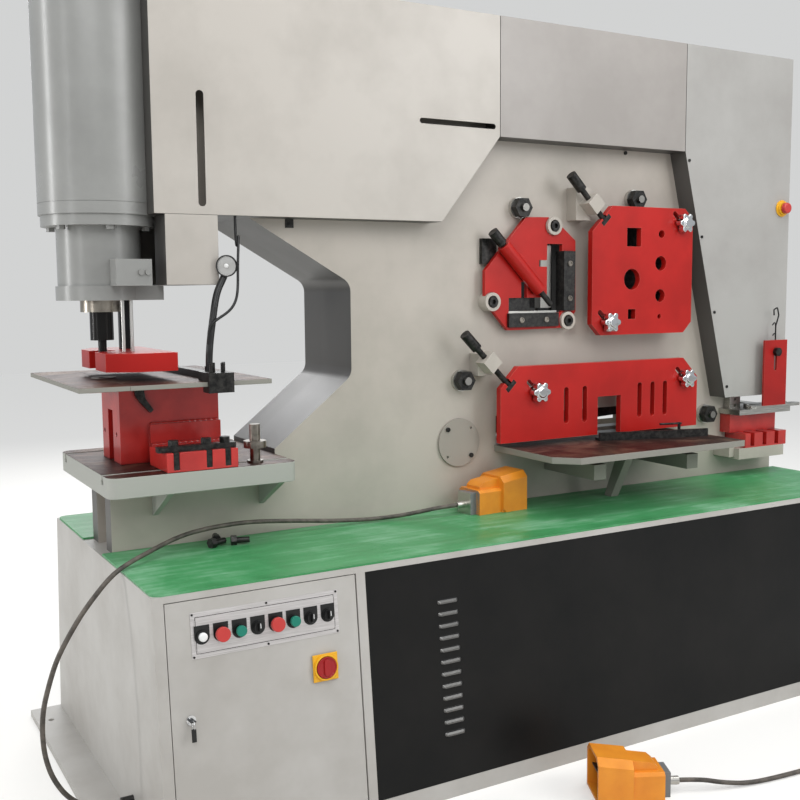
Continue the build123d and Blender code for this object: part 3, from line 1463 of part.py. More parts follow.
# Bright control plate with a second plate on it, its corners clipped
with BuildPart() as control_plate:
    with BuildSketch(lean) as outer:
        with Locations((control_left + control_length / 2, control_foot + control_height / 2)):
            Rectangle(control_length, control_height)
    extrude(outer.sketch, amount=control_sheet)
    with BuildSketch(lean.offset(control_sheet)) as inner:
        with Locations((control_left + control_length / 2, control_foot + control_height / 2)):
            Rectangle(control_length - 2 * inner_plate_margin, control_height - 2 * inner_plate_margin)
        chamfer(inner.vertices(), inner_plate_clip)
    extrude(inner.sketch, amount=control_sheet)
    for x in device_places:
        round_bar(lean_at(x, device_line), barrel_radius + seat_gap, 2 * control_sheet, Mode.SUBTRACT)
keep(control_plate, "control_plate")

# Name plates, bezels and contact blocks of the eight devices, and the main switch's body
plate_rise = 2 * control_sheet
bezel_rise = plate_rise + name_plate_thickness
bezel_top = bezel_rise + bezel_height
with BuildPart() as control_bezels:
    for x in device_places:
        with BuildSketch(lean_at(x, device_line, plate_rise)) as name_plate:
            Circle(name_plate_width / 2)
            with Locations((0, name_plate_reach / 2)):
                Rectangle(name_plate_width, name_plate_reach)
        extrude(name_plate.sketch, amount=name_plate_thickness)
        round_bar(lean_at(x, device_line, bezel_rise), bezel_radius, bezel_height)
        round_bar(lean_at(x, device_line, bezel_rise), bezel_bore, bezel_height, Mode.SUBTRACT)
        round_bar(lean_at(x, device_line, plate_rise), barrel_radius, -barrel_length)
        with BuildSketch(lean_at(x, device_line, plate_rise - barrel_length)) as contacts:
            Rectangle(contact_block, contact_block)
        extrude(contacts.sketch, amount=-contact_length)
    for x in device_places[1:]:
        round_bar(lean_at(x, device_line, bezel_rise), stem_radius + stem_clearance, -barrel_length, Mode.SUBTRACT)
    lens = lean_at(device_places[0], device_line, bezel_rise)
    round_bar(lens, lamp_lens_radius, bezel_height + 3)
    switch = lean_at(main_switch_x, main_switch_line)
    for place, width, depth in ((switch, main_switch_plate, 3.0), (switch.offset(-front_sheet), 50.0, -45.0)):
        with BuildSketch(place) as switch_base:
            Rectangle(width, width)
        extrude(switch_base.sketch, amount=depth)
    round_bar(switch.offset(-front_sheet), barrel_radius, front_sheet)
    round_bar(switch.offset(3), stem_radius + stem_clearance, -20, Mode.SUBTRACT)
keep(control_bezels, "control_bezels")


def push_button(x, radius, height):
    """A push button's cap on its neck and stem."""
    neck = lean_at(x, device_line, bezel_top + seat_gap)
    round_bar(neck, push_neck, push_travel)
    round_bar(neck.offset(push_travel), radius, height)
    round_bar(neck, stem_radius, -16)


def selector(place, disc, bar_width, bar_height):
    """A turning handle: disc, raised bar and stem."""
    round_bar(place, disc, selector_disc_height)
    with BuildSketch(place.offset(selector_disc_height)) as bar:
        SlotOverall(2 * disc - 3, bar_width, rotation=90)
    extrude(bar.sketch, amount=bar_height)
    round_bar(place, stem_radius, -16)


with BuildPart() as red_button_left:
    push_button(device_places[1], mushroom_radius, mushroom_height)
keep(red_button_left, "red_button_left")

with BuildPart() as green_button_left:
    push_button(device_places[2], green_cap_radius, green_cap_height)
keep(green_button_left, "green_button_left")

with BuildPart() as selector_left:
    selector(lean_at(device_places[3], device_line, bezel_top + seat_gap), selector_disc_radius,
             selector_bar_width, selector_bar_height)
keep(selector_left, "selector_left")

with BuildPart() as red_button_right:
    push_button(device_places[4], mushroom_radius, mushroom_height)
keep(red_button_right, "red_button_right")

with BuildPart() as green_button_right:
    push_button(device_places[5], green_cap_radius, green_cap_height)
keep(green_button_right, "green_button_right")

with BuildPart() as selector_middle:
    selector(lean_at(device_places[6], device_line, bezel_top + seat_gap), selector_disc_radius,
             selector_bar_width, selector_bar_height)
keep(selector_middle, "selector_middle")

with BuildPart() as selector_right:
    selector(lean_at(device_places[7], device_line, bezel_top + seat_gap), selector_disc_radius,
             selector_bar_width, selector_bar_height)
keep(selector_right, "selector_right")

with BuildPart() as main_switch_knob:
    selector(switch.offset(3 + seat_gap), main_switch_knob_radius, 2 * selector_bar_width, selector_bar_height)
keep(main_switch_knob, "main_switch_knob")

# Cam lock of the door, open: head, barrel through the sheet, and the cam that turns behind the cabinet's edge
with BuildPart() as door_lock:
    head = lean_at(lock_x, lock_line, seat_gap)
    round_bar(head, lock_radius + 2, 4)
    round_bar(head, lock_radius, -door_depth - 4)
    with BuildSketch(head.offset(-door_depth - 2)) as cam:
        with Locations((0, (lock_x - door_left + lock_cam_reach) / 2)):
            Rectangle(lock_cam_width, lock_x - door_left + lock_cam_reach)
    extrude(cam.sketch, amount=-2.5)
keep(door_lock, "door_lock")

# Power pack behind the front panel: oil tank on the bearers, motor and pump on its lid
with BuildPart() as power_pack:
    lid = rail_height + tank[2]
    slab(tank[0], tank[1], (rail_height, lid))
    slab((tank[0][0] - 15, tank[0][1] + 15), (tank[1][0] - 15, tank[1][1] + 15), (lid, lid + 8))
    motor_foot = plan_at(motor_place[0], motor_place[1], lid + 8)
    round_bar(motor_foot, motor_radius + 20, 14)
    round_bar(motor_foot, motor_radius, motor_height)
    round_bar(motor_foot.offset(motor_height), motor_radius - 10, 18)
    slab(valve_block[0], valve_block[1], (lid + 8, lid + 8 + valve_block[2]))
keep(power_pack, "power_pack")


def bench_at(x, y, z, turn):
    """Plane on which a foot switch stands, its X towards the mouth and its origin under the hood's back."""
    toward = (cos(radians(turn)), sin(radians(turn)), 0)
    return Plane(origin=at(x, y, z), x_dir=toward, z_dir=(0, 0, 1))


def hood_profile(place, shrink, drop):
    """Section of the foot switch's hood: upright sides and chamfered top edges."""
    half = pedal_width / 2 - shrink
    flat = half - pedal_chamfer
    with BuildSketch(place) as profile:
        Polygon(
            (-half, shrink),
            (half, shrink),
            (half, pedal_side - drop - shrink / 2),
            (flat, pedal_top - drop - shrink),
            (-flat, pedal_top - drop - shrink),
            (-half, pedal_side - drop - shrink / 2),
            align=None,
        )
    return profile.sketch.face()


def foot_switch(bench):
    """Housing of a foot switch: open hood, low heel with a lid, terminal box and gland at the back."""
    across = Plane(origin=bench.origin, x_dir=bench.y_dir, z_dir=bench.x_dir)
    loft([hood_profile(across, 0, pedal_drop), hood_profile(across.offset(pedal_hood), 0, 0)])
    half_heel = pedal_heel_width / 2
    cheek = [
        (-half_heel, 0),
        (half_heel, 0),
        (half_heel, pedal_cheek - 8),
        (half_heel - 8, pedal_cheek),
        (8 - half_heel, pedal_cheek),
        (-half_heel, pedal_cheek - 8),
    ]
    plate(across.offset(-pedal_heel), cheek, pedal_heel)
    lid_side = Plane(origin=bench.origin + bench.y_dir * pedal_lid[1], x_dir=bench.x_dir, z_dir=-bench.y_dir)
    lid = [
        (pedal_lid[0][0], pedal_cheek - 1),
        (pedal_lid[0][1] + 1, pedal_cheek - 1),
        (pedal_lid[0][1] + 1, pedal_lid[2] + 4),
        (pedal_lid[0][0] + 14, pedal_lid[2] - 4),
        (pedal_lid[0][0], pedal_lid[2] - 16),
    ]
    plate(lid_side, lid, 2 * pedal_lid[1])
    box = [
        (-pedal_back[1], 0),
        (pedal_back[1], 0),
        (pedal_back[1], pedal_back[2]),
        (-pedal_back[1], pedal_back[2]),
    ]
    plate(across.offset(pedal_back[0][0]), box, pedal_back[0][1] - pedal_back[0][0])
    gland_seat = Plane(origin=bench.from_local_coords((pedal_back[0][0], 0, pedal_gland_height)),
                       z_dir=-bench.x_dir)
    round_bar(gland_seat, gland_radius, gland_length)
    with BuildSketch(across.offset(pedal_wall)) as foot_room:
        Rectangle(2 * (half_heel - pedal_wall), 2 * (pedal_cheek - pedal_wall))
    with BuildSketch(across.offset(pedal_wall)) as under_floor:
        Rectangle(2 * half_heel, 2 * pedal_base)
    room = extrude(foot_room.sketch - under_floor.sketch, amount=pedal_wall - pedal_heel, mode=Mode.PRIVATE)
    add(room, mode=Mode.SUBTRACT)
    loft(
        [
            hood_profile(across.offset(pedal_wall), pedal_base, pedal_drop),
            hood_profile(across.offset(pedal_hood), pedal_base, 0),
        ],
        mode=Mode.SUBTRACT,
    )
    for turn in (1, -1):
        wall = bench.origin + bench.y_dir * turn * pedal_width / 2
        notch = Plane(origin=wall, z_dir=-bench.y_dir * turn)
        round_bar(notch.offset(-1), pedal_notch_radius, pedal_wall, Mode.SUBTRACT)
    pin_seat = Plane(origin=bench.from_local_coords((pedal_pin[0], half_heel - 2, pedal_pin[1])),
                     z_dir=-bench.y_dir)
    round_bar(pin_seat, pedal_pin_radius + stem_clearance, pedal_heel_width - 4, Mode.SUBTRACT)


def treadle(bench):
    """Treadle of a foot switch, tilted up from its pin across the heel."""
    half_inside = pedal_heel_width / 2 - pedal_wall - 1.5
    rise = tan(radians(treadle_tilt))
    far = pedal_pin[1] + (treadle_end - pedal_pin[0]) * rise
    side_plane = Plane(origin=bench.origin + bench.y_dir * half_inside, x_dir=bench.x_dir, z_dir=-bench.y_dir)
    blade = [
        (pedal_pin[0] - 6, pedal_pin[1] - 3),
        (pedal_pin[0] + 6, pedal_pin[1] - 3),
        (treadle_end, far),
        (treadle_end, far + treadle_thickness),
        (pedal_pin[0] - 6, pedal_pin[1] + treadle_thickness),
    ]
    plate(side_plane, blade, 2 * half_inside)
    pin_end = Plane(origin=bench.from_local_coords((pedal_pin[0], pedal_heel_width / 2 - 2.3, pedal_pin[1])),
                    z_dir=-bench.y_dir)
    round_bar(pin_end, pedal_pin_radius, pedal_heel_width - 4.6)


mat_bench = bench_at(mat_pedal[0], mat_pedal[1], mat_top, mat_pedal[2])
floor_bench = bench_at(floor_pedal[0], floor_pedal[1], 0, floor_pedal[2])
with BuildPart() as mat_foot_switch:
    foot_switch(mat_bench)
keep(mat_foot_switch, "mat_foot_switch")

with BuildPart() as mat_treadle:
    treadle(mat_bench)
keep(mat_treadle, "mat_treadle")

with BuildPart() as floor_foot_switch:
    foot_switch(floor_bench)
keep(floor_foot_switch, "floor_foot_switch")

with BuildPart() as floor_treadle:
    treadle(floor_bench)
keep(floor_treadle, "floor_treadle")


def cable(stops):
    """A round cable of straight runs joined by tangent bends."""
    runs = [after - before for before, after in zip(stops, stops[1:])]
    bends = []
    for before, after in zip(runs, runs[1:]):
        half_turn = radians(before.get_angle(after)) / 2
        bends.append(0.45 * min(before.length, after.length) / tan(half_turn))
    with BuildLine() as route:
        FilletPolyline(*stops, radius=bends)
    with BuildSketch(Plane(origin=route.line @ 0, z_dir=route.line % 0)) as section:
        Circle(cable_radius)
    sweep(section.sketch, path=route.line)
    print("cable", round(route.wire().length, 1), "mm, bend radii", [round(bend) for bend in bends])


def cable_out(exit_place, outward):
    """Mouth of a cable gland on the cabinet's end."""
    return at(exit_place[0] + outward * gland_length, exit_place[1], exit_place[2])


with BuildPart() as mat_cable:
    stops = [mat_bench.from_local_coords(gland_mouth), mat_bench.from_local_coords(gland_lead)]
    stops += [at(*point) for point in mat_cable_route]
    cable(stops + [cable_out(cable_exit_left, -1)])
keep(mat_cable, "mat_cable")

with BuildPart() as floor_cable:
    stops = [floor_bench.from_local_coords(gland_mouth), floor_bench.from_local_coords(gland_lead)]
    stops += [at(*point) for point in floor_cable_route]
    cable(stops + [cable_out(cable_exit_right, 1)])
keep(floor_cable, "floor_cable")

# Fasteners on the machine: gib studs and nuts, cover screws, ring bolts, plate screws and cable glands
with BuildPart() as machine_fasteners:
    gib_seat = frame_front - gib_washer_thickness
    for x, z in gib_places:
        hex_bar(front_at(x, gib_seat, z), gib_nut, gib_nut_height)
        round_bar(front_at(x, gib_seat, z), gib_stud_radius, gib_nut_height + 10)
    for x, z in cover_screws:
        round_bar(front_at(x, cover_front, z), 5, 3)
    for x, z in (frame_screw, frame_tab):
        round_bar(front_at(x, frame_front, z), 6, 5)
    slab((frame_tab[0] - 12, frame_tab[0] + 12), (frame_front - 3, frame_front),
         (frame_tab[1] - 12, frame_tab[1] + 12))
    for x, z in angle_bosses:
        round_bar(front_at(x, angle_boss_front + 12, z), boss_head_radius, 16)
        hex_bar(front_at(x, angle_boss_front - 4, z), 14, -8, Mode.SUBTRACT)
    slab(angle_block[0], (angle_back, frame_front), angle_block[1])
    pin_face = frame_front - pin_cover_thickness
    for turn in (-45, 135):
        x = pivot_x + (pin_cover_radius - 14) * cos(radians(turn))
        z = pivot_z + (pin_cover_radius - 14) * sin(radians(turn))
        round_bar(front_at(x, pin_face, z), 7, 5)
    for number in range(6):
        turn = radians(60 * number - 30)
        bolt_ring = (ring_radius + housing_radius) / 2
        ring_bolt = plan_at(punch_x + bolt_ring * cos(turn), punch_y + bolt_ring * sin(turn), ring_foot)
        hex_bar(ring_bolt, 19, -10)
    for x in (guide_block[0][0] + 62, guide_block[0][1] - 12):
        round_bar(front_at(x, guide_block_front, 1350), 7, 6)
    round_bar(front_at(notch_knob[0], guard_y[1], notch_knob[1]), stud_radius, notch_guard_thickness + 10)
    round_bar(front_at(notch_knob[0], notch_guard_front - seat_gap, notch_knob[1]), notch_knob_radius, 14)
    for exit_place, outward in ((cable_exit_left, -1), (cable_exit_right, 1)):
        wall = Plane(origin=at(*exit_place), z_dir=(outward, 0, 0))
        round_bar(wall, gland_radius, gland_length)
keep(machine_fasteners, "machine_fasteners")
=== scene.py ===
"""Looks of the hydraulic ironworker: enamels, steels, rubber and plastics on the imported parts, softened
edges, welds, screws, the key in the door's lock and the two foot switch cables.

Places are written in millimetres as on the machine, from the cabinet's left end, its front top edge and the
floor, and at() brings them into the frame's metres.
"""

from math import atan2, pi, radians, sin

import bpy
from mathutils import Matrix, Vector


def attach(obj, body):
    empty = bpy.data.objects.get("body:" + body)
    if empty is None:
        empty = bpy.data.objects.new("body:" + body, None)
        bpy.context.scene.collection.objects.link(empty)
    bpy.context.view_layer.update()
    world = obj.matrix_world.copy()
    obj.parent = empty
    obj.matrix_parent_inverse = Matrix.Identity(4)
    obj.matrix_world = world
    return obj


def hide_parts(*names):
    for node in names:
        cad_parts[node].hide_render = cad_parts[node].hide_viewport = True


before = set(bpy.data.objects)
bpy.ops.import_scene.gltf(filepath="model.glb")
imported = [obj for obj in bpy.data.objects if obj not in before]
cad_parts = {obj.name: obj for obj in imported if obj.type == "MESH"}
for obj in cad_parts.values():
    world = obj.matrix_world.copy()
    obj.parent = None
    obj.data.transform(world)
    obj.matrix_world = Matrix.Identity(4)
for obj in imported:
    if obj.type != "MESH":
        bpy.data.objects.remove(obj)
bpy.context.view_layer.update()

MM = 0.001

# Sizes of the machine that the pieces below sit on
cabinet_length = 2510.0
cabinet_depth = 976.0
cabinet_height = 625.0
cabinet_batter = 65.0
mat_top = 630.0
device_first = 110.0
device_pitch = 45.0
device_line = 527.0
plate_left = 85.0
plate_right = 454.0
plate_foot = 478.0
plate_head = 583.0
border_inset = 11.0
border_width = 1.4
switch_place = (410.0, 402.0)
lock_place = (73.0, 344.0)
stop_place = (2431.0, 1579.0)
front_tilt = pi / 2 - atan2(cabinet_batter, cabinet_height)
plate_front = 447.0
pin_place = (1099.0, 833.0)
louvre_foot = 158.0
louvre_pitch = 31.0
cover_seam = 1204.0
gib_places = ((1320.0, 1551.0), (1791.0, 1592.0), (1107.0, 1024.0), (2141.0, 854.0))
lamp_head = (328.0, 352.0, 1366.0)
lamp_facing = (-0.6, -0.8, -0.05)
cover_front = 375.0
mat_pedal = (1165.0, 363.0, mat_top, 4.0)
floor_pedal = (1150.0, -275.0, 0.0, 153.7)
cable_diameter = 12.0
gland_mouth = (-134.0, 0.0, 30.0)
gland_lead = (-194.0, 0.0, 30.0)
reflector_radius = 25.2


def at(x, y, z):
    """Bring a place on the machine into the frame."""
    return Vector((x - cabinet_length / 2, y - cabinet_depth / 2, z)) * MM


def upright(x, y, z):
    """Matrix that stands a piece on a place, its Z up."""
    return Matrix.Translation(at(x, y, z))


def facing(x, y, z):
    """Matrix that hangs a piece on the machine's front, its Z out of the front and its Y up."""
    return upright(x, y, z) @ Matrix.Rotation(pi / 2, 4, "X")


def lean_at(x, up):
    """Matrix on the leaning front, at a length up its slope."""
    foot = upright(0, -cabinet_batter, 0) @ Matrix.Rotation(front_tilt, 4, "X")
    return foot @ Matrix.Translation(Vector((x, up, 0)) * MM)


def device_at(number):
    """Matrix at one of the control plate's devices, which are numbered from the left."""
    return lean_at(device_first + number * device_pitch, device_line)


def on_bench(pedal, point):
    """Bring a place on a foot switch into the frame."""
    x, y, z, turn = pedal
    return at(x, y, z) + Matrix.Rotation(radians(turn), 3, "Z") @ (Vector(point) * MM)


def placed(name, data):
    """A new object in the scene."""
    thing = bpy.data.objects.new(name, data)
    bpy.context.scene.collection.objects.link(thing)
    return thing


# Camera at the photograph's place
camera_place = (-1.888, -2.711, 1.300)
camera_heading = radians(29.77)
camera_tilt = radians(6.02)
camera_roll = radians(0.47)
camera_data = bpy.data.cameras.new("camera")
camera_data.lens = 46.87
camera_data.sensor_width = 36.0
camera = placed("camera", camera_data)
camera.matrix_world = (
    Matrix.Translation(camera_place)
    @ Matrix.Rotation(-camera_heading, 4, "Z")
    @ Matrix.Rotation(pi / 2 - camera_tilt, 4, "X")
    @ Matrix.Rotation(-camera_roll, 4, "Z")
)
bpy.context.scene.camera = camera


# Materials
def linear(colour):
    """Turn an sRGB hex colour into linear light."""
    channels = []
    for start in (1, 3, 5):
        value = int(colour[start:start + 2], 16) / 255
        channels.append(value / 12.92 if value <= 0.04045 else ((value + 0.055) / 1.055) ** 2.4)
    return (*channels, 1.0)


def add(tree, kind, inputs=None, **settings):
    """Add a shader node, its kind called without the common prefix, with its settings. An input takes a
    value or another node's output."""
    node = tree.nodes.new("ShaderNode" + kind)
    for name, value in settings.items():
        setattr(node, name, value)
    for name, value in (inputs or {}).items():
        if isinstance(value, bpy.types.NodeSocket):
            tree.links.new(value, node.inputs[name])
        else:
            node.inputs[name].default_value = value
    return node


def grade(ramp, *stops):
    """Set a colour ramp's stops, each a place from 0 to 1 and a hex colour."""
    elements = ramp.color_ramp.elements
    for number, (place, colour) in enumerate(stops):
        stop = elements[number] if number < 2 else elements.new(place)
        stop.position = place
        stop.color = linear(colour)
    return ramp.outputs["Color"]


def new_material(name):
    """An empty material, its node tree and its Object coordinates."""
    material = bpy.data.materials.new(name)
    material.use_nodes = True
    tree = material.node_tree
    tree.nodes.clear()
    return material, tree, add(tree, "TexCoord").outputs["Object"]


def close(tree, inputs):
    """Join the surface's shader to the material's output."""
    shader = add(tree, "BsdfPrincipled", inputs)
    add(tree, "OutputMaterial", {"Surface": shader.outputs[0]})


def per_mm(size):
    """Texture scale at which a pattern repeats about every so many millimetres."""
    return 1 / (size * MM)


def per_ridge(pitch):
    """Scale at which the wave texture, which turns 20 radians over a metre, puts its ridges so many
    millimetres apart."""
    return 2 * pi / (20 * pitch * MM)


def on_lean(tree, place):
    """X along the leaning front, Y up its slope and Z out of it."""
    lean = add(tree, "Mapping", {"Vector": place, "Location": at(0, -cabinet_batter, 0),
                                 "Rotation": (front_tilt, 0.0, 0.0)}, vector_type="TEXTURE")
    return add(tree, "SeparateXYZ", {0: lean.outputs[0]}).outputs


def inside(tree, place, low, high):
    """1 inside a box on the machine, given by two corners, and 0 outside it."""
    low, high = at(*low), at(*high)
    offset = add(tree, "VectorMath", {0: place, 1: (low + high) / 2}, operation="SUBTRACT")
    share = add(tree, "VectorMath", {0: offset.outputs[0], 1: (high - low) / 2}, operation="DIVIDE")
    size = add(tree, "VectorMath", {0: share.outputs[0]}, operation="ABSOLUTE")
    parts = add(tree, "SeparateXYZ", {0: size.outputs[0]})
    wide = add(tree, "Math", {0: parts.outputs[0], 1: parts.outputs[1]}, operation="MAXIMUM")
    widest = add(tree, "Math", {0: wide.outputs[0], 1: parts.outputs[2]}, operation="MAXIMUM")
    return add(tree, "Math", {0: widest.outputs[0], 1: 1.0}, operation="LESS_THAN").outputs[0]


def with_spots(tree, place, paint, spots, metal=0.0):
    """Lay other finishes over a paint inside boxes on the machine, each with its two corners, its colour and
    its share of metal. Gives the colour and the metal."""
    for low, high, colour, share in spots:
        mask = inside(tree, place, low, high)
        paint = add(tree, "Mix", {0: mask, 6: paint, 7: linear(colour)}, data_type="RGBA").outputs[2]
        metal = add(tree, "Mix", {0: mask, 2: metal, 3: share}, data_type="FLOAT").outputs[0]
    return paint, metal


def shade_hollows(tree, paint, shade_colour, reach):
    """Darken a paint in corners and slots, within a reach in millimetres: painted shade where the hollows
    fall into shadow.
    """
    hollow = add(tree, "AmbientOcclusion", {"Distance": reach * MM}, samples=6)
    depth = add(tree, "MapRange", {"Value": hollow.outputs["AO"], "From Min": 0.25, "From Max": 0.75,
                                   "To Min": 0.85, "To Max": 0.0})
    return add(tree, "Mix", {0: depth.outputs[0], 6: paint, 7: linear(shade_colour)}, data_type="RGBA").outputs[2]


def sprayed_enamel(name, colour, shade, gloss, peel, edge=None, spots=(), dim=None):
    """Two-pack enamel sprayed on filled plate: even colour with broad handling smears and a fine orange peel
    that breaks up its soft gloss. The peel is drawn at 7 mm, coarser than the real 2 mm, so that it shows.
    Faces that look sideways, up or down can take a darker grey, painted shade where the plate edges and the
    throat lie in shadow, and a box on the machine can be made darker by a multiplied tint."""
    material, tree, place = new_material(name)
    smears = add(tree, "TexNoise", {"Vector": place, "Scale": per_mm(420), "Detail": 5.0, "Roughness": 0.62})
    paint = grade(add(tree, "ValToRGB", {"Fac": smears.outputs[0]}), (0.38, shade), (0.58, colour))
    grain = add(tree, "TexNoise", {"Vector": place, "Scale": per_mm(7), "Detail": 2.0})
    bump = add(tree, "Bump", {"Height": grain.outputs[0], "Strength": peel, "Distance": 0.6 * MM})
    rough = add(tree, "MapRange", {"Value": smears.outputs[0], "From Min": 0.3, "From Max": 0.7,
                                   "To Min": gloss + 0.1, "To Max": gloss})
    # Painted shade: a darker grey on faces that do not look to the front.
    if edge:
        normal = add(tree, "NewGeometry").outputs["True Normal"]
        lie = add(tree, "SeparateXYZ", {0: normal})
        front = add(tree, "Math", {0: lie.outputs["Y"]}, operation="ABSOLUTE")
        side = add(tree, "Math", {0: front.outputs[0], 1: 0.5}, operation="LESS_THAN")
        paint = add(tree, "Mix", {0: side.outputs[0], 6: paint, 7: linear(edge)}, data_type="RGBA").outputs[2]
    if dim:
        low, high, share = dim
        paint = add(tree, "Mix", {0: inside(tree, place, low, high), 6: paint, 7: linear(share)},
                    data_type="RGBA", blend_type="MULTIPLY").outputs[2]
    paint, metal = with_spots(tree, place, paint, spots)
    close(tree, {"Base Color": paint, "Metallic": metal, "Roughness": rough.outputs[0],
                 "Normal": bump.outputs[0], "Coat Weight": 0.12, "Coat Roughness": 0.25})
    return material


def red_guard_enamel(name, colour, shade, spots=()):
    """Red gloss enamel on flame-cut plate: pale edges, partly paint worn thin and partly a painted highlight,
    small scuffs, painted shade in its hollows and a soft sheen. The scuffs are drawn at 25 mm, as large as
    they need to be to show."""
    material, tree, place = new_material(name)
    cloud = add(tree, "TexNoise", {"Vector": place, "Scale": per_mm(160), "Detail": 4.0})
    paint = grade(add(tree, "ValToRGB", {"Fac": cloud.outputs[0]}), (0.35, shade), (0.6, colour))
    rounded = add(tree, "Bevel", {"Radius": 2.5 * MM}, samples=4)
    flat = add(tree, "NewGeometry")
    turned = add(tree, "VectorMath", {0: rounded.outputs[0], 1: flat.outputs["Normal"]},
                 operation="DOT_PRODUCT")
    scuffs = add(tree, "TexNoise", {"Vector": place, "Scale": per_mm(25), "Detail": 6.0, "Roughness": 0.7})
    edge = add(tree, "MapRange", {"Value": turned.outputs["Value"], "From Min": 0.995, "From Max": 0.86,
                                  "To Min": 0.0, "To Max": 0.75})
    worn_edge_highlight = add(tree, "Math", {0: edge.outputs[0], 1: scuffs.outputs[0]}, operation="MULTIPLY")
    # Painted shade: dark red in the guards' corners and slots.
    paint = shade_hollows(tree, paint, "#4A0D0B", 10)
    # Pale pink along the rounded edges, broken by the scuffs: partly paint worn thin, partly a painted edge
    # highlight.
    paint = add(tree, "Mix", {0: worn_edge_highlight.outputs[0], 6: paint, 7: linear("#E08878")},
                data_type="RGBA").outputs[2]
    paint, metal = with_spots(tree, place, paint, spots)
    grain = add(tree, "TexNoise", {"Vector": place, "Scale": per_mm(6), "Detail": 2.0})
    bump = add(tree, "Bump", {"Height": grain.outputs[0], "Strength": 0.1, "Distance": 0.6 * MM})
    close(tree, {"Base Color": paint, "Metallic": metal, "Roughness": 0.36, "Normal": bump.outputs[0],
                 "Specular IOR Level": 0.25, "Coat Weight": 0.08, "Coat Roughness": 0.18})
    return material


def red_brushed_enamel():
    """Red enamel laid on welded blocks with a brush: thick glossy film with sags over rough plate, and
    painted shade in its slots and corners.
    """
    material, tree, place = new_material("red enamel, brushed on")
    cloud = add(tree, "TexNoise", {"Vector": place, "Scale": per_mm(90), "Detail": 5.0})
    paint = grade(add(tree, "ValToRGB", {"Fac": cloud.outputs[0]}), (0.34, "#AC211D"), (0.6, "#C42D27"))
    # Painted shade: near black in the T-slots, holes and corners.
    paint = shade_hollows(tree, paint, "#1A0B09", 20)
    sags = add(tree, "TexNoise", {"Vector": place, "Scale": per_mm(22), "Detail": 3.0, "Distortion": 0.6})
    bump = add(tree, "Bump", {"Height": sags.outputs[0], "Strength": 0.35, "Distance": 1.6 * MM})
    close(tree, {"Base Color": paint, "Roughness": 0.3, "Normal": bump.outputs[0], "Coat Weight": 0.5,
                 "Coat Roughness": 0.12})
    return material


def oiled_table(name, painted_below):
    """Rolled steel table with a brown film of preserving oil, darker where it pooled and rubbed bright along
    the scratches. Below the given height in millimetres, and on its sides, it carries grey enamel."""
    material, tree, place = new_material(name)
    pools = add(tree, "TexNoise", {"Vector": place, "Scale": per_mm(130), "Detail": 6.0, "Roughness": 0.6,
                                   "Distortion": 0.8})
    film = grade(add(tree, "ValToRGB", {"Fac": pools.outputs[0]}), (0.3, "#201411"), (0.5, "#432F29"),
                 (0.72, "#77604F"))
    drag = add(tree, "Mapping", {"Vector": place, "Scale": (1.0, 14.0, 1.0)})
    scratches = add(tree, "TexNoise", {"Vector": drag.outputs[0], "Scale": per_mm(60), "Detail": 8.0,
                                       "Roughness": 0.8})
    rough = add(tree, "MapRange", {"Value": scratches.outputs[0], "From Min": 0.35, "From Max": 0.65,
                                   "To Min": 0.3, "To Max": 0.6})
    normal = add(tree, "NewGeometry")
    up = add(tree, "SeparateXYZ", {0: normal.outputs["True Normal"]})
    height = add(tree, "SeparateXYZ", {0: place})
    faces_up = add(tree, "Math", {0: up.outputs["Z"], 1: 0.8}, operation="GREATER_THAN")
    high = add(tree, "Math", {0: height.outputs["Z"], 1: painted_below * MM}, operation="GREATER_THAN")
    top = add(tree, "Math", {0: faces_up.outputs[0], 1: high.outputs[0]}, operation="MULTIPLY")
    side = "#A9AAA3" if painted_below else "#8E8C84"
    colour = add(tree, "Mix", {0: top.outputs[0], 6: linear(side), 7: film}, data_type="RGBA")
    sheen = add(tree, "Mix", {0: top.outputs[0], 2: 0.42, 3: rough.outputs[0]}, data_type="FLOAT")
    metal = add(tree, "Math", {0: top.outputs[0], 1: 0.45}, operation="MULTIPLY")
    bump = add(tree, "Bump", {"Height": scratches.outputs[0], "Strength": 0.12, "Distance": 0.3 * MM})
    close(tree, {"Base Color": colour.outputs[2], "Metallic": metal.outputs[0], "Roughness": sheen.outputs[0],
                 "Normal": bump.outputs[0], "Specular IOR Level": 0.12})
    return material


def workshop_matting():
    """Green rubber matting, pale in streaks along its length: dust and scuffs where hands and feet rub,
    together with a painted sheen of light on the rubber.
    Its ribs are drawn as shallow waves 57 mm apart, far coarser than the real few millimetres."""
    material, tree, place = new_material("green ribbed rubber")
    dust = add(tree, "TexNoise", {"Vector": place, "Scale": per_mm(300), "Detail": 7.0, "Roughness": 0.65,
                                  "Distortion": 0.4})
    streaked = add(tree, "Mapping", {"Vector": place, "Scale": (0.12, 1.0, 1.0)})
    streaks = add(tree, "TexNoise", {"Vector": streaked.outputs[0], "Scale": per_mm(26), "Detail": 6.0,
                                     "Roughness": 0.7})
    scuffs = add(tree, "Mix", {0: 0.4, 2: dust.outputs[0], 3: streaks.outputs[0]}, data_type="FLOAT")
    # The palest green is dust and scuffs, and also a painted sheen of light on the rubber.
    green = grade(add(tree, "ValToRGB", {"Fac": scuffs.outputs[0]}), (0.36, "#33854C"), (0.5, "#45955D"),
                  (0.66, "#85B994"))
    waves = add(tree, "TexWave", {"Vector": place, "Scale": per_ridge(56.55)}, bands_direction="Y")
    bump = add(tree, "Bump", {"Height": waves.outputs["Fac"], "Strength": 0.35, "Distance": 1.0 * MM})
    rough = add(tree, "MapRange", {"Value": dust.outputs[0], "From Min": 0.35, "From Max": 0.7, "To Min": 0.3,
                                   "To Max": 0.55})
    close(tree, {"Base Color": green, "Roughness": rough.outputs[0], "Normal": bump.outputs[0]})
    return material


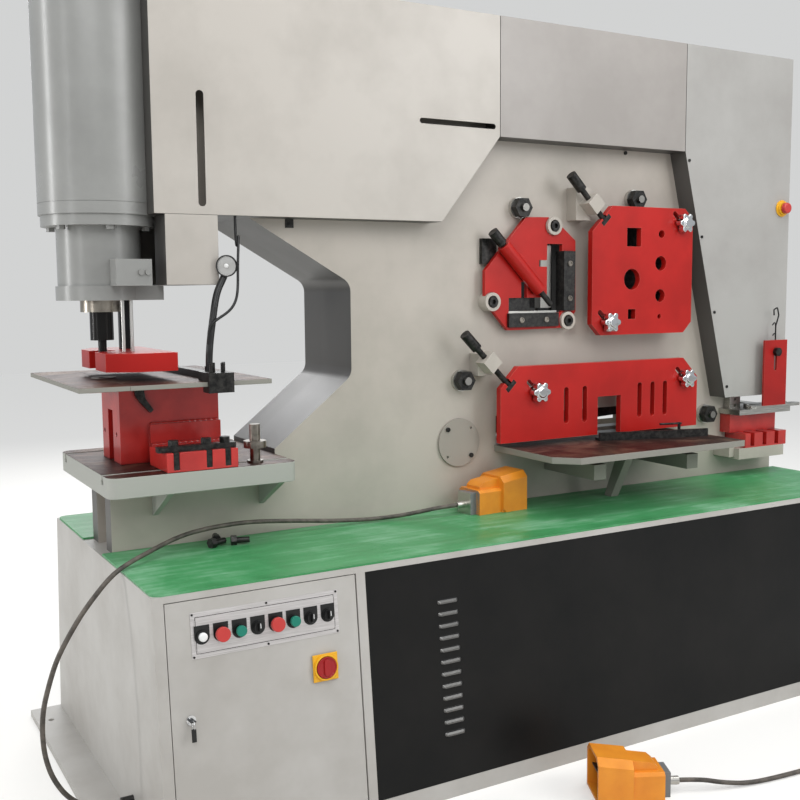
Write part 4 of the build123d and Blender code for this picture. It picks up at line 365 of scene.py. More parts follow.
def powder_coat():
    """Charcoal powder coat on folded sheet: an even fine texture, dust and wipe marks, and a painted
    reflection, a grey metallic band, on the louvres' lower lips."""
    lip_start = louvre_foot - 3.0
    lip_height = 14.0
    lip_proud = 0.6
    material, tree, place = new_material("charcoal powder coat")
    dust = add(tree, "TexNoise", {"Vector": place, "Scale": per_mm(380), "Detail": 7.0, "Roughness": 0.7})
    coat = grade(add(tree, "ValToRGB", {"Fac": dust.outputs[0]}), (0.35, "#0F1010"), (0.7, "#1B1A19"))
    lean = on_lean(tree, place)
    row = add(tree, "Math", {0: lean["Y"], 1: lip_start * MM}, operation="SUBTRACT")
    phase = add(tree, "Math", {0: row.outputs[0], 1: louvre_pitch * MM}, operation="FLOORED_MODULO")
    lip = add(tree, "Math", {0: phase.outputs[0], 1: lip_height * MM}, operation="LESS_THAN")
    proud = add(tree, "Math", {0: lean["Z"], 1: lip_proud * MM}, operation="GREATER_THAN")
    lip_reflection = add(tree, "Math", {0: lip.outputs[0], 1: proud.outputs[0]}, operation="MULTIPLY")
    # Painted reflection: a grey band on each louvre's proud lower lip.
    coat = add(tree, "Mix", {0: lip_reflection.outputs[0], 6: coat, 7: linear("#747371")},
               data_type="RGBA").outputs[2]
    grain = add(tree, "TexNoise", {"Vector": place, "Scale": per_mm(4), "Detail": 2.0})
    bump = add(tree, "Bump", {"Height": grain.outputs[0], "Strength": 0.2, "Distance": 0.4 * MM})
    close(tree, {"Base Color": coat, "Metallic": lip_reflection.outputs[0], "Roughness": 0.38,
                 "Normal": bump.outputs[0], "Specular IOR Level": 0.2})
    return material


def turned_steel(name, colour, spots=()):
    """Steel turned on a lathe: rings left by the tool, drawn 19 mm apart so that they show, and a thin oil
    film that stains it in patches."""
    material, tree, place = new_material(name)
    stains = add(tree, "TexNoise", {"Vector": place, "Scale": per_mm(30), "Detail": 6.0})
    tint = grade(add(tree, "ValToRGB", {"Fac": stains.outputs[0]}), (0.3, "#5B554E"), (0.6, colour))
    rings = add(tree, "TexWave", {"Vector": place, "Scale": per_ridge(18.85), "Distortion": 0.3},
                bands_direction="Z")
    bump = add(tree, "Bump", {"Height": rings.outputs["Fac"], "Strength": 0.15, "Distance": 0.2 * MM})
    tint, metal = with_spots(tree, place, tint, spots, 1.0)
    close(tree, {"Base Color": tint, "Metallic": metal, "Roughness": 0.28, "Normal": bump.outputs[0]})
    return material


def ground_steel():
    """Surface-ground tool steel: bright, with straight grinding lines along its length."""
    material, tree, place = new_material("ground tool steel")
    drag = add(tree, "Mapping", {"Vector": place, "Scale": (0.05, 1.0, 1.0)})
    lines = add(tree, "TexNoise", {"Vector": drag.outputs[0], "Scale": per_mm(3), "Detail": 5.0})
    tint = grade(add(tree, "ValToRGB", {"Fac": lines.outputs[0]}), (0.3, "#A8A6A0"), (0.7, "#D6D5D0"))
    bump = add(tree, "Bump", {"Height": lines.outputs[0], "Strength": 0.1, "Distance": 0.2 * MM})
    close(tree, {"Base Color": tint, "Metallic": 1.0, "Roughness": 0.3, "Normal": bump.outputs[0]})
    return material


def black_oxide(name, colour, rough, spots=(), knurl=0.0):
    """Blackened steel with a little oil: almost black, with grey rubbed spots and, on the hold-down screws, a
    coarsely drawn knurl of the given pitch in millimetres."""
    material, tree, place = new_material(name)
    rubs = add(tree, "TexNoise", {"Vector": place, "Scale": per_mm(14), "Detail": 6.0, "Roughness": 0.7})
    tint = grade(add(tree, "ValToRGB", {"Fac": rubs.outputs[0]}), (0.4, colour), (0.78, "#4A4845"))
    height = rubs.outputs[0]
    if knurl:
        slant = add(tree, "Mapping", {"Vector": place, "Rotation": (0.0, radians(45), 0.0)})
        turns = add(tree, "TexWave", {"Vector": slant.outputs[0], "Scale": per_ridge(knurl)},
                    bands_direction="X")
        height = turns.outputs["Fac"]
    bump = add(tree, "Bump", {"Height": height, "Strength": 0.7 if knurl else 0.2, "Distance": 0.8 * MM})
    tint, metal = with_spots(tree, place, tint, spots, 0.55)
    close(tree, {"Base Color": tint, "Metallic": metal, "Roughness": rough, "Normal": bump.outputs[0]})
    return material


def chrome_plate():
    """Decorative chrome on a cast star knob: mirror bright, faintly wavy from the casting under it."""
    material, tree, place = new_material("chrome plate")
    waves = add(tree, "TexNoise", {"Vector": place, "Scale": per_mm(12), "Detail": 2.0})
    bump = add(tree, "Bump", {"Height": waves.outputs[0], "Strength": 0.12, "Distance": 0.4 * MM})
    close(tree, {"Base Color": linear("#DCDDDE"), "Metallic": 1.0, "Roughness": 0.13,
                 "Normal": bump.outputs[0]})
    return material


def brushed_stainless():
    """Stainless sheet brushed along its length: pale, with long fine hairlines and a thin printed border."""
    material, tree, place = new_material("brushed stainless steel")
    drag = add(tree, "Mapping", {"Vector": place, "Scale": (0.02, 1.0, 1.0)})
    lines = add(tree, "TexNoise", {"Vector": drag.outputs[0], "Scale": per_mm(1.5), "Detail": 4.0})
    tint = grade(add(tree, "ValToRGB", {"Fac": lines.outputs[0]}), (0.3, "#BDB9B7"), (0.7, "#DEDAD9"))
    lean = on_lean(tree, place)
    inner = []
    for letter, start, end in (("X", plate_left, plate_right), ("Y", plate_foot, plate_head)):
        offset = add(tree, "Math", {0: lean[letter], 1: (start + end) / 2 * MM}, operation="SUBTRACT")
        away = add(tree, "Math", {0: offset.outputs[0]}, operation="ABSOLUTE")
        inset = add(tree, "Math", {0: away.outputs[0], 1: ((end - start) / 2 - border_inset) * MM},
                    operation="SUBTRACT")
        inner.append(inset.outputs[0])
    outer = add(tree, "Math", {0: inner[0], 1: inner[1]}, operation="MAXIMUM")
    line = add(tree, "Math", {0: outer.outputs[0], 1: 0.0, 2: border_width / 2 * MM}, operation="COMPARE")
    tint = add(tree, "Mix", {0: line.outputs[0], 6: tint, 7: linear("#3A3836")}, data_type="RGBA").outputs[2]
    bump = add(tree, "Bump", {"Height": lines.outputs[0], "Strength": 0.08, "Distance": 0.1 * MM})
    close(tree, {"Base Color": tint, "Metallic": 0.55, "Roughness": 0.42, "Normal": bump.outputs[0]})
    return material


def moulded_plastic(name, colour, rough):
    """Moulded thermoplastic, such as a button's cap: even colour, satin skin with a very fine grain."""
    material, tree, place = new_material(name)
    grain = add(tree, "TexNoise", {"Vector": place, "Scale": per_mm(1.2), "Detail": 2.0})
    bump = add(tree, "Bump", {"Height": grain.outputs[0], "Strength": 0.1, "Distance": 0.1 * MM})
    close(tree, {"Base Color": linear(colour), "Roughness": rough, "Normal": bump.outputs[0]})
    return material


def cast_orange(name, pedal):
    """Orange enamel on a die-cast foot switch: a pebbled casting skin under gloss, a bare grey terminal box
    at its back and a nickelled gland. The bare parts start behind the heel, measured along the switch."""
    box_start = -84.0
    gland_start = -103.9
    material, tree, place = new_material(name)
    x, y, z, turn = pedal
    local = add(tree, "Mapping", {"Vector": place, "Location": at(x, y, z),
                                  "Rotation": (0.0, 0.0, radians(turn))}, vector_type="TEXTURE")
    along = add(tree, "SeparateXYZ", {0: local.outputs[0]}).outputs["X"]
    skin = add(tree, "TexNoise", {"Vector": place, "Scale": per_mm(5), "Detail": 3.0})
    soil = add(tree, "TexNoise", {"Vector": place, "Scale": per_mm(60), "Detail": 5.0})
    paint = grade(add(tree, "ValToRGB", {"Fac": soil.outputs[0]}), (0.3, "#DE8624"), (0.7, "#EE982C"))
    on_box = add(tree, "Math", {0: along, 1: box_start * MM}, operation="LESS_THAN")
    on_gland = add(tree, "Math", {0: along, 1: gland_start * MM}, operation="LESS_THAN")
    coat = add(tree, "Mix", {0: on_box.outputs[0], 6: paint, 7: linear("#77797A")}, data_type="RGBA")
    plated = add(tree, "Mix", {0: on_gland.outputs[0], 6: coat.outputs[2], 7: linear("#C9C6BF")},
                 data_type="RGBA")
    bump = add(tree, "Bump", {"Height": skin.outputs[0], "Strength": 0.25, "Distance": 0.7 * MM})
    close(tree, {"Base Color": plated.outputs[2], "Metallic": on_gland.outputs[0], "Roughness": 0.34,
                 "Normal": bump.outputs[0]})
    return material


def foot_rubber():
    """Black rubber on the treadle, ribbed across so that a boot grips. The ribs are drawn 44 mm apart,
    coarser than the real ones."""
    material, tree, place = new_material("ribbed black rubber")
    ribs = add(tree, "TexWave", {"Vector": place, "Scale": per_ridge(43.98)}, bands_direction="X")
    bump = add(tree, "Bump", {"Height": ribs.outputs["Fac"], "Strength": 0.5, "Distance": 1.2 * MM})
    close(tree, {"Base Color": linear("#1C1C1C"), "Roughness": 0.6, "Normal": bump.outputs[0]})
    return material


def cable_jacket():
    """Grey rubber jacket of a flexible cable: matt, uneven and dusty in patches."""
    material, tree, place = new_material("dusty rubber cable jacket")
    dust = add(tree, "TexNoise", {"Vector": place, "Scale": per_mm(45), "Detail": 6.0, "Roughness": 0.7})
    tint = grade(add(tree, "ValToRGB", {"Fac": dust.outputs[0]}), (0.35, "#34302C"), (0.68, "#6C645B"))
    bump = add(tree, "Bump", {"Height": dust.outputs[0], "Strength": 0.3, "Distance": 0.8 * MM})
    close(tree, {"Base Color": tint, "Roughness": 0.55, "Normal": bump.outputs[0]})
    return material


def lamp_finish():
    """Black goose-neck and head with a bright aluminium reflector. The neck's coil is drawn as a ripple 38 mm
    apart, far coarser than the real wire."""
    material, tree, place = new_material("black goose-neck, aluminium reflector")
    offset = add(tree, "VectorMath", {0: place, 1: at(*lamp_head)}, operation="DISTANCE")
    near = add(tree, "Math", {0: offset.outputs["Value"], 1: reflector_radius * MM}, operation="LESS_THAN")
    ripple = add(tree, "TexWave", {"Vector": place, "Scale": per_ridge(37.7)}, bands_direction="Z")
    tint = add(tree, "Mix", {0: near.outputs[0], 6: linear("#181818"), 7: linear("#CBCAC7")},
               data_type="RGBA")
    bump = add(tree, "Bump", {"Height": ripple.outputs["Fac"], "Strength": 0.5, "Distance": 1.0 * MM})
    close(tree, {"Base Color": tint.outputs[2], "Metallic": near.outputs[0], "Roughness": 0.4,
                 "Normal": bump.outputs[0]})
    return material


# Boxes on the machine with a finish of their own: two corners, the colour and the share of metal
# Darker grey of painted shade on plate edges, cover sides and in the throat
edge_painted_shade = "#504E4B"
bright_metal = "#C9C7C2"
# A box on the right cover, made darker by a multiplied tint.
darker_cover = ((cover_seam + 1, 300, 1300), (1960, 520, 2300), "#DAD9DC")
skin_front = plate_front - 0.5
pin_x, pin_z = pin_place
pin_reach = 80
pin_disc = ((pin_x - pin_reach, plate_front - 12, pin_z - pin_reach),
            (pin_x + pin_reach, skin_front, pin_z + pin_reach), "#9C958C", 0.0)
gib_washers = ((1000, plate_front - 12.5, 700), (2300, skin_front, 1700), bright_metal, 1.0)
stud_reach = 13
stud_ends = []
for x, z in gib_places:
    stud_ends.append(((x - stud_reach, 396, z - stud_reach), (x + stud_reach, 408.5, z + stud_reach),
                      "#8E8C88", 1.0))
ring_bolts = ((-120, 380, 1440), (220, 720, 1467.9), "#8B8B88", 0.0)
guide_bolts = ((95, 365, 1335), (150, 379.9, 1365), "#A9A8A4", 1.0)
stripper_post = ((100, 590, 1147.5), (160, 630, 1290), "#17181A", 0.3)
stripper_rods = ((78, 460, 1147.5), (116, 480, 1290), "#D2D0CC", 1.0)
punch_holder = ((-60, 440, 1100), (160, 660, 1250), "#1B1A19", 0.6)
angle_blade = ((1405, 440, 1236), (1459, 480, 1442), "#A3A19C", 1.0)
guard_hook = ((2340, 330, 1112.5), (2420, 360, 1300), "#141414", 0.3)

# Finishes
grey = sprayed_enamel("grey machine enamel", "#B9B1A7", "#ABA49A", 0.34, 0.16)
plate_grey = sprayed_enamel("grey enamel on the side plates", "#B9B1A7", "#ABA49A", 0.34, 0.16, edge_painted_shade,
                            (gib_washers, pin_disc))
cover_grey = sprayed_enamel("pale grey enamel on covers", "#BCB6AE", "#B0AAA2", 0.36, 0.12, edge_painted_shade,
                            dim=darker_cover)
end_grey = sprayed_enamel("warm grey enamel on the end cover", "#AAA8A4", "#A09D99", 0.36, 0.12, edge_painted_shade)
cylinder_grey = sprayed_enamel("grey enamel on the cylinder", "#979794", "#8B8B88", 0.24, 0.1)
cabinet_white = sprayed_enamel("warm white cabinet enamel", "#B9B6B1", "#ABA7A1", 0.36, 0.14)
tank_grey = sprayed_enamel("dark grey tank enamel", "#4C4F52", "#404346", 0.4, 0.15)
guard_red = red_guard_enamel("red guard enamel", "#B81F1A", "#A61A15")
stripper_red = red_guard_enamel("red enamel on the stripper", "#B81F1A", "#A61A15",
                                (stripper_post, stripper_rods))
hooked_red = red_guard_enamel("red enamel on the notch guard", "#A81F1B", "#961916", (guard_hook,))
block_red = red_brushed_enamel()
table_oil = oiled_table("oiled rolled steel", 0.0)
lower_oil = oiled_table("oiled steel on a grey table", 840.0)
mat_green = workshop_matting()
charcoal = powder_coat()
tool_steel = turned_steel("turned tool steel", "#9A948B")
ram_steel = turned_steel("turned steel over a black holder", "#A8A094", (punch_holder,))
bright_steel = ground_steel()
blade_steel = black_oxide("dark blade steel", "#232323", 0.35)
beam_steel = black_oxide("dark beam with a bright angle blade", "#232323", 0.35, (angle_blade,))
black_steel = black_oxide("black oxide steel", "#151515", 0.38)
fastener_steel = black_oxide("black nuts on bright studs", "#151515", 0.38,
                             (*stud_ends, ring_bolts, guide_bolts))
screw_black = black_oxide("black threaded steel", "#131313", 0.4, knurl=18.85)
chrome = chrome_plate()
stainless = brushed_stainless()
black_plastic = moulded_plastic("black moulded plastic", "#141414", 0.35)
red_plastic = moulded_plastic("red moulded plastic", "#C23A36", 0.35)
switch_red = moulded_plastic("dark red moulded plastic", "#A01518", 0.28)
green_plastic = moulded_plastic("green moulded plastic", "#0F7A66", 0.3)
yellow_plastic = moulded_plastic("yellow moulded plastic", "#E9AE1E", 0.4)
white_plastic = moulded_plastic("white lens plastic", "#ECECEA", 0.3)
orange_mat = cast_orange("orange enamel on the mat's foot switch", mat_pedal)
orange_floor = cast_orange("orange enamel on the floor's foot switch", floor_pedal)
treadle_rubber = foot_rubber()
jacket = cable_jacket()
lamp_black = lamp_finish()

node_finishes = (
    (cabinet_white, ["base_frame", "cabinet_door"]),
    (mat_green, ["rubber_mat"]),
    (charcoal, ["louvred_panel"]),
    (plate_grey, ["front_side_plate", "rear_side_plate"]),
    (cover_grey, ["front_covers", "rear_cover"]),
    (end_grey, ["end_cover"]),
    (cylinder_grey, ["cylinder_barrel", "guide_housing"]),
    (grey, ["shear_brackets", "notch_table", "shear_cylinder"]),
    (tank_grey, ["power_pack"]),
    (lower_oil, ["lower_table"]),
    (table_oil, ["shear_table", "upper_table"]),
    (stripper_red, ["stripper"]),
    (hooked_red, ["notch_guard"]),
    (guard_red, ["angle_shear_plate", "bar_shear_guard", "plate_shear_guard"]),
    (block_red, ["die_bed", "t_slot_block", "notch_block"]),
    (ram_steel, ["punch_ram"]),
    (tool_steel, ["punch_die", "turned_tool", "shear_rod"]),
    (bright_steel, ["notch_die"]),
    (blade_steel, ["fixed_blades"]),
    (beam_steel, ["shear_beam"]),
    (black_steel, ["gauge_clamp", "black_bolts", "angle_guide"]),
    (fastener_steel, ["machine_fasteners"]),
    (screw_black, ["angle_clamp_screw", "bar_guard_screw", "plate_guard_screw"]),
    (chrome, ["star_knobs", "door_lock"]),
    (stainless, ["control_plate"]),
    (black_plastic, ["control_bezels", "selector_left", "selector_middle", "selector_right"]),
    (red_plastic, ["stop_mushroom", "red_button_left", "red_button_right"]),
    (switch_red, ["main_switch_knob"]),
    (green_plastic, ["green_button_left", "green_button_right"]),
    (orange_mat, ["mat_foot_switch"]),
    (orange_floor, ["floor_foot_switch"]),
    (treadle_rubber, ["mat_treadle", "floor_treadle"]),
    (jacket, ["mat_cable", "floor_cable"]),
    (lamp_black, ["work_lamp"]),
)
for finish, names in node_finishes:
    for name in names:
        material_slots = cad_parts[name].data.materials
        material_slots.clear()
        material_slots.append(finish)


# Cables of the two foot switches
mat_cable_route = [
    (905, 360, 652),
    (835, 386, 641),
    (740, 401, 640),
    (630, 402, 650),
    (512, 400, 665),
    (387, 390, 679),
    (299, 375, 681),
    (214, 357, 678),
    (151, 334, 669),
    (92, 300, 658),
    (35, 265, 648),
    (-6, 240, 637),
    (-33, 231, 621),
    (-65, 226, 590),
    (-102, 222, 548),
    (-134, 219, 502),
    (-165, 217, 449),
    (-184, 216, 395),
    (-200, 215, 339),
    (-205, 214, 281),
    (-201, 213, 221),
    (-184, 212, 162),
    (-148, 211, 105),
    (-92, 210, 70),
    (-30, 210, 70),
]
floor_cable_route = [
    (1374, -384, 18),
    (1450, -408, 6.6),
    (1560, -424, 6.6),
    (1690, -434, 6.6),
    (1830, -430, 6.6),
    (1970, -405, 6.6),
    (2100, -360, 6.6),
    (2220, -300, 6.6),
    (2330, -228, 6.6),
    (2430, -165, 6.6),
    (2532, -128, 6.6),
    (2622, -68, 6.6),
    (2674, 20, 7),
    (2692, 100, 14),
    (2694, 160, 46),
    (2668, 200, 90),
    (2614, 210, 120),
    (2540, 210, 120),
]


def tube(name, radius, smoothness):
    """A curve with a round section, its radius in millimetres."""
    line = bpy.data.curves.new(name, "CURVE")
    line.dimensions = "3D"
    line.bevel_depth = radius * MM
    line.bevel_resolution = smoothness
    line.use_fill_caps = True
    return line


def lay_cable(name, pedal, route):
    """A foot switch's cable from its gland to the gland on the cabinet's end."""
    stops = [on_bench(pedal, gland_mouth), on_bench(pedal, gland_lead)] + [at(*point) for point in route]
    line = tube(name, radius=cable_diameter / 2, smoothness=5)
    line.resolution_u = 10
    spline = line.splines.new("NURBS")
    spline.points.add(len(stops) - 1)
    for point, stop in zip(spline.points, stops):
        point.co = (*stop, 1.0)
    spline.order_u = 3
    spline.use_endpoint_u = True
    line.materials.append(jacket)
    piece = placed(name + "_flex", line)
    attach(piece, "machine")
    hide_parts(name)


lay_cable("mat_cable", mat_pedal, mat_cable_route)
lay_cable("floor_cable", floor_pedal, floor_cable_route)


# Modelling. Places no further apart than flush, in metres, count as one.
flush = 1e-5


def let_go():
    """Deselect everything, so that an operator works on the next piece alone."""
    bpy.ops.object.select_all(action="DESELECT")


def hold(piece):
    """Select one piece and make it active."""
    let_go()
    piece.select_set(True)
    bpy.context.view_layer.objects.active = piece


def started(name):
    """Name the piece just added."""
    piece = bpy.context.object
    piece.name = name
    bpy.ops.object.transform_apply(location=True, rotation=True, scale=True)
    return piece


def round_start(name, radius, height, foot=0.0, sides=48):
    """Start a piece from a round bar that stands on its own XY plane, in millimetres."""
    let_go()
    bpy.ops.mesh.primitive_cylinder_add(vertices=sides, radius=radius * MM, depth=height * MM,
                                        location=(0, 0, (foot + height / 2) * MM))
    return started(name)


def square_start(name, width, depth, height, foot=0.0):
    """Start a piece from a block that stands on its own XY plane, in millimetres."""
    let_go()
    bpy.ops.mesh.primitive_cube_add(size=1, location=(0, 0, (foot + height / 2) * MM))
    bpy.context.object.scale = (width * MM, depth * MM, height * MM)
    return started(name)


def open_top(piece):
    """Open a piece in edit mode with only its highest face selected."""
    hold(piece)
    bpy.context.tool_settings.mesh_select_mode = (False, False, True)
    highest = max(face.center.z for face in piece.data.polygons)
    for item in list(piece.data.vertices) + list(piece.data.edges):
        item.select = False
    for face in piece.data.polygons:
        face.select = face.center.z > highest - flush and face.normal.z > 0.9
    bpy.ops.object.mode_set(mode="EDIT")


def close_edit():
    """Leave edit mode."""
    bpy.ops.object.mode_set(mode="OBJECT")


def rim(piece, width, rise):
    """Leave a rim round a piece's top face and raise what lies inside it, or sink it."""
    open_top(piece)
    bpy.ops.mesh.inset(thickness=width * MM)
    bpy.ops.mesh.extrude_region_move(TRANSFORM_OT_translate={"value": (0, 0, rise * MM)})
    close_edit()


def dome(piece, *steps):
    """Draw a piece's top face in and up by steps, each with the two lengths."""
    open_top(piece)
    for inward, up in steps:
        bpy.ops.mesh.inset(thickness=inward * MM)
        bpy.ops.transform.translate(value=(0, 0, up * MM))
    close_edit()


def work(piece, label, kind, **settings):
    """Apply one of Blender's modifiers to a piece."""
    tool = piece.modifiers.new(label, kind)
    for name, value in settings.items():
        setattr(tool, name, value)
    bpy.ops.object.modifier_apply(modifier=tool.name)


def soften(piece, width):
    """Round a piece's sharp edges by a bevel of so many millimetres, its faces shaded flat and the rounds
    smooth."""
    hold(piece)
    bpy.ops.object.shade_smooth()
    work(piece, "soft edges", "BEVEL", width=width * MM, segments=2, limit_method="ANGLE",
         angle_limit=radians(35), harden_normals=True)
    work(piece, "flat faces", "WEIGHTED_NORMAL", keep_sharp=True)


def cast_skin(piece, grain, passes):
    """Round a piece all over, as a small casting comes from its mould and the polishing wheel."""
    hold(piece)
    work(piece, "cast skin", "REMESH", mode="VOXEL", voxel_size=grain * MM)
    work(piece, "polish", "SMOOTH", factor=0.6, iterations=passes)
    bpy.ops.object.shade_smooth()


def shift(piece, x, y, z):
    """Move a piece's mesh by millimetres."""
    piece.data.transform(Matrix.Translation(Vector((x, y, z)) * MM))


def seat(piece, places, material, body):
    """Copy a finished piece to its places, as one mesh, and let it ride on its body."""
    copies = []
    for place in places[1:]:
        copy = placed(piece.name, piece.data.copy())
        copy.data.transform(place)
        copies.append(copy)
    piece.data.transform(places[0])
    hold(piece)
    for copy in copies:
        copy.select_set(True)
    if copies:
        bpy.ops.object.join()
    piece.data.materials.clear()
    piece.data.materials.append(material)
    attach(piece, body)


def softened_node(name, width, body):
    """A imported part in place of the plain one: its sharp edges rounded by a width or, where none is given,
    the whole part rounded like a casting."""
    piece = placed(name + "_shaped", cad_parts[name].data.copy())
    hold(piece)
    bpy.ops.object.mode_set(mode="EDIT")
    bpy.ops.mesh.select_all(action="SELECT")
    bpy.ops.mesh.remove_doubles(threshold=flush)
    bpy.ops.mesh.dissolve_limited(angle_limit=radians(0.8))
    close_edit()
    if width:
        soften(piece, width)
    else:
        cast_skin(piece, knob_voxel, knob_passes)
    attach(piece, body)
    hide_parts(name)


# Softened parts, with the width of their rounded edges in millimetres. The cast knobs have none.
knob_voxel = 1.3
knob_passes = 14
softened = (
    ("stripper", 2.5, "machine", "guard_red"),
    ("die_bed", 2.0, "machine", "guard_red"),
    ("t_slot_block", 2.0, "machine", "guard_red"),
    ("angle_shear_plate", 1.2, "machine", "guard_red"),
    ("bar_shear_guard", 1.5, "bar_guard", "guard_red"),
    ("plate_shear_guard", 1.5, "plate_guard", "guard_red"),
    ("lower_table", 2.0, "machine", "frame_grey"),
    ("shear_table", 1.5, "machine", "oiled_plate"),
    ("upper_table", 1.2, "machine", "oiled_plate"),
    ("star_knobs", None, "machine", "chrome_knob"),
    ("red_button_left", 2.0, "red_button_left", "red_plastic"),
    ("red_button_right", 2.0, "red_button_right", "red_plastic"),
    ("green_button_left", 1.2, "green_button_left", "green_plastic"),
    ("green_button_right", 1.2, "green_button_right", "green_plastic"),
    ("main_switch_knob", 1.5, "main_switch", "red_plastic"),
    ("mat_foot_switch", 2.5, "machine", "pedal_orange"),
    ("floor_foot_switch", 2.5, "machine", "pedal_orange"),
    ("front_covers", 3.0, "machine", "frame_grey"),
    ("end_cover", 3.0, "machine", "frame_grey"),
    ("shear_brackets", 1.5, "machine", "frame_grey"),
)
for name, width, body, slot in softened:
    softened_node(name, width, body)


def main_switch_shield():
    """Yellow plate of the main switch with the raised ring round its knob."""
    shield = square_start("main_switch_shield", width=65, depth=65, height=3.2, foot=3.0)
    rim(shield, width=1.5, rise=0.8)
    soften(shield, 0.8)
    ring = round_start("ring", radius=31, height=9.0, foot=4.0, sides=64)
    rim(ring, width=4.0, rise=-8.4)
    soften(ring, 0.8)
    hold(shield)
    ring.select_set(True)
    bpy.ops.object.join()
    seat(shield, [lean_at(*switch_place)], yellow_plastic, "door")


def main_switch_skirt():
    """Red disc under the main switch's handle, with its rounded rim."""
    skirt = round_start("main_switch_skirt", radius=25.5, height=9.5, foot=5.0, sides=64)
    rim(skirt, width=3, rise=-1.6)
    soften(skirt, 0.9)
    seat(skirt, [lean_at(*switch_place)], switch_red, "main_switch")


def stop_ring():
    """Yellow stepped collar round the stop button's mushroom."""
    ring = round_start("stop_ring", radius=29, height=5, foot=0.1, sides=64)
    rim(ring, width=5, rise=8.4)
    soften(ring, 0.8)
    seat(ring, [facing(stop_place[0], cover_front, stop_place[1])], yellow_plastic, "machine")


def pilot_lens():
    """White domed lens of the pilot lamp at the panel's left end."""
    lens = round_start("pilot_lens", radius=10.2, height=6.5, foot=7.2)
    dome(lens, (2.4, 1.8), (3.0, 1.0))
    soften(lens, 0.5)
    seat(lens, [device_at(0)], white_plastic, "door")


def selector_marks():
    """White pointer line along the bar of each selector."""
    for name, number in (("selector_left", 3), ("selector_middle", 6), ("selector_right", 7)):
        mark = square_start(name + "_mark", width=1.8, depth=11, height=0.5, foot=22.6)
        shift(mark, 0, 5, 0)
        soften(mark, 0.15)
        seat(mark, [device_at(number)], white_plastic, name)


def lamp_bulb():
    """Small frosted bulb in the middle of the work lamp's reflector."""
    reflector_floor = 3.4
    bulb = round_start("lamp_bulb", radius=6.0, height=3.0, sides=32)
    dome(bulb, (1.4, 1.6), (2.0, 0.8))
    soften(bulb, 0.5)
    shift(bulb, 0, 0, reflector_floor)
    turn = Vector(lamp_facing).to_track_quat("Z", "Y").to_matrix().to_4x4()
    seat(bulb, [upright(*lamp_head) @ turn], white_plastic, "machine")


def plate_screws():
    """Small round-headed screws along the control plate's border."""
    screw = round_start("plate_screws", radius=2.6, height=1.4, foot=1.5, sides=20)
    rim(screw, width=1.1, rise=-0.9)
    edge = 4.5
    places = []
    for across in (plate_left + edge, plate_right - edge, (plate_left + plate_right) / 2):
        for up in (plate_foot + edge, plate_head - edge):
            places.append(lean_at(across, up))
    seat(screw, places, black_steel, "door")


def key_ring():
    """Key in the door's lock, with its bow, the split ring and the fob that hang from it."""
    lock = [lean_at(*lock_place)]
    key = square_start("key_bow", width=13, depth=3, height=16, foot=5.0)
    soften(key, 1.2)
    seat(key, lock, black_plastic, "lock")
    let_go()
    bpy.ops.mesh.primitive_torus_add(major_radius=10 * MM, minor_radius=0.9 * MM, major_segments=40,
                                     minor_segments=10, rotation=(0, pi / 2, 0),
                                     location=(0, -8 * MM, 18 * MM))
    ring = started("key_split_ring")
    bpy.ops.object.shade_smooth()
    seat(ring, lock, chrome, "lock")
    fob = square_start("key_fob", width=11, depth=30, height=2.4, foot=16.5)
    shift(fob, 0, -31, 0)
    soften(fob, 0.9)
    seat(fob, lock, black_plastic, "lock")


def blade_screws():
    """Bright socket head screws that hold the angle shear's two black blades."""
    head_radius = 9.0
    head_height = 4.0
    socket_radius = 5.5
    blade_front = 405.0
    screw = round_start("blade_screws", head_radius, head_height, sides=24)
    rim(screw, width=head_radius - socket_radius, rise=-0.7 * head_height)
    soften(screw, 0.5)
    places = []
    for x, z in ((1497, 1380), (1497, 1270), (1308, 1204), (1404, 1204)):
        places.append(facing(x, blade_front, z))
    seat(screw, places, tool_steel, "machine")


def angle_blade_bed():
    """Dark block that carries the angle shear's lower blade behind the plate, and the blade's bright edge."""
    bed_depth = 13
    bed_place = (1311, plate_front - 1.0 - bed_depth / 2, 1216)
    edge_place = (1360, 420, 1225.3)
    bed = square_start("angle_blade_bed", width=98, depth=bed_depth, height=60)
    soften(bed, 1.0)
    seat(bed, [upright(*bed_place)], blade_steel, "machine")
    blade = square_start("angle_blade_edge", width=188, depth=5, height=7)
    soften(blade, 0.6)
    seat(blade, [upright(*edge_place)], bright_steel, "machine")


def weld_bead(name, length, radius):
    """A weld laid along X: a rippled half-round bead that swells with each pool and with the maker's pace."""
    cut_length = 2.5
    ripple = 5.0
    pool_swell = 0.22
    pace_swell = 0.12
    let_go()
    bpy.ops.mesh.primitive_cylinder_add(vertices=12, radius=radius * MM, depth=length * MM,
                                        rotation=(0, pi / 2, 0), end_fill_type="NGON")
    bead = started(name)
    bpy.ops.object.mode_set(mode="EDIT")
    bpy.ops.mesh.select_all(action="DESELECT")
    close_edit()
    bpy.context.tool_settings.mesh_select_mode = (False, True, False)
    for edge in bead.data.edges:
        start, end = (bead.data.vertices[index].co for index in edge.vertices)
        edge.select = abs(start.x - end.x) > length * MM / 2
    bpy.ops.object.mode_set(mode="EDIT")
    bpy.ops.mesh.subdivide(number_cuts=int(length / cut_length))
    close_edit()
    for vertex in bead.data.vertices:
        phase = vertex.co.x / (ripple * MM)
        swell = 1 + pool_swell * abs(sin(phase)) + pace_swell * sin(phase * 0.23 + 1.0)
        vertex.co.y *= swell
        vertex.co.z *= swell
    bpy.ops.object.shade_smooth()
    return bead


def die_bed_welds():
    """Weld beads along the tops of the die bed's two apron plates."""
    left = 150.0
    right = 340.0
    middle = (left + right) / 2
    upper_seam = upright(middle, 480.5, 953)
    lower_seam = upright(middle, 466.5, 899)
    bead = weld_bead("die_bed_welds", length=right - left, radius=4.2)
    seat(bead, [upper_seam, lower_seam], block_red, "machine")


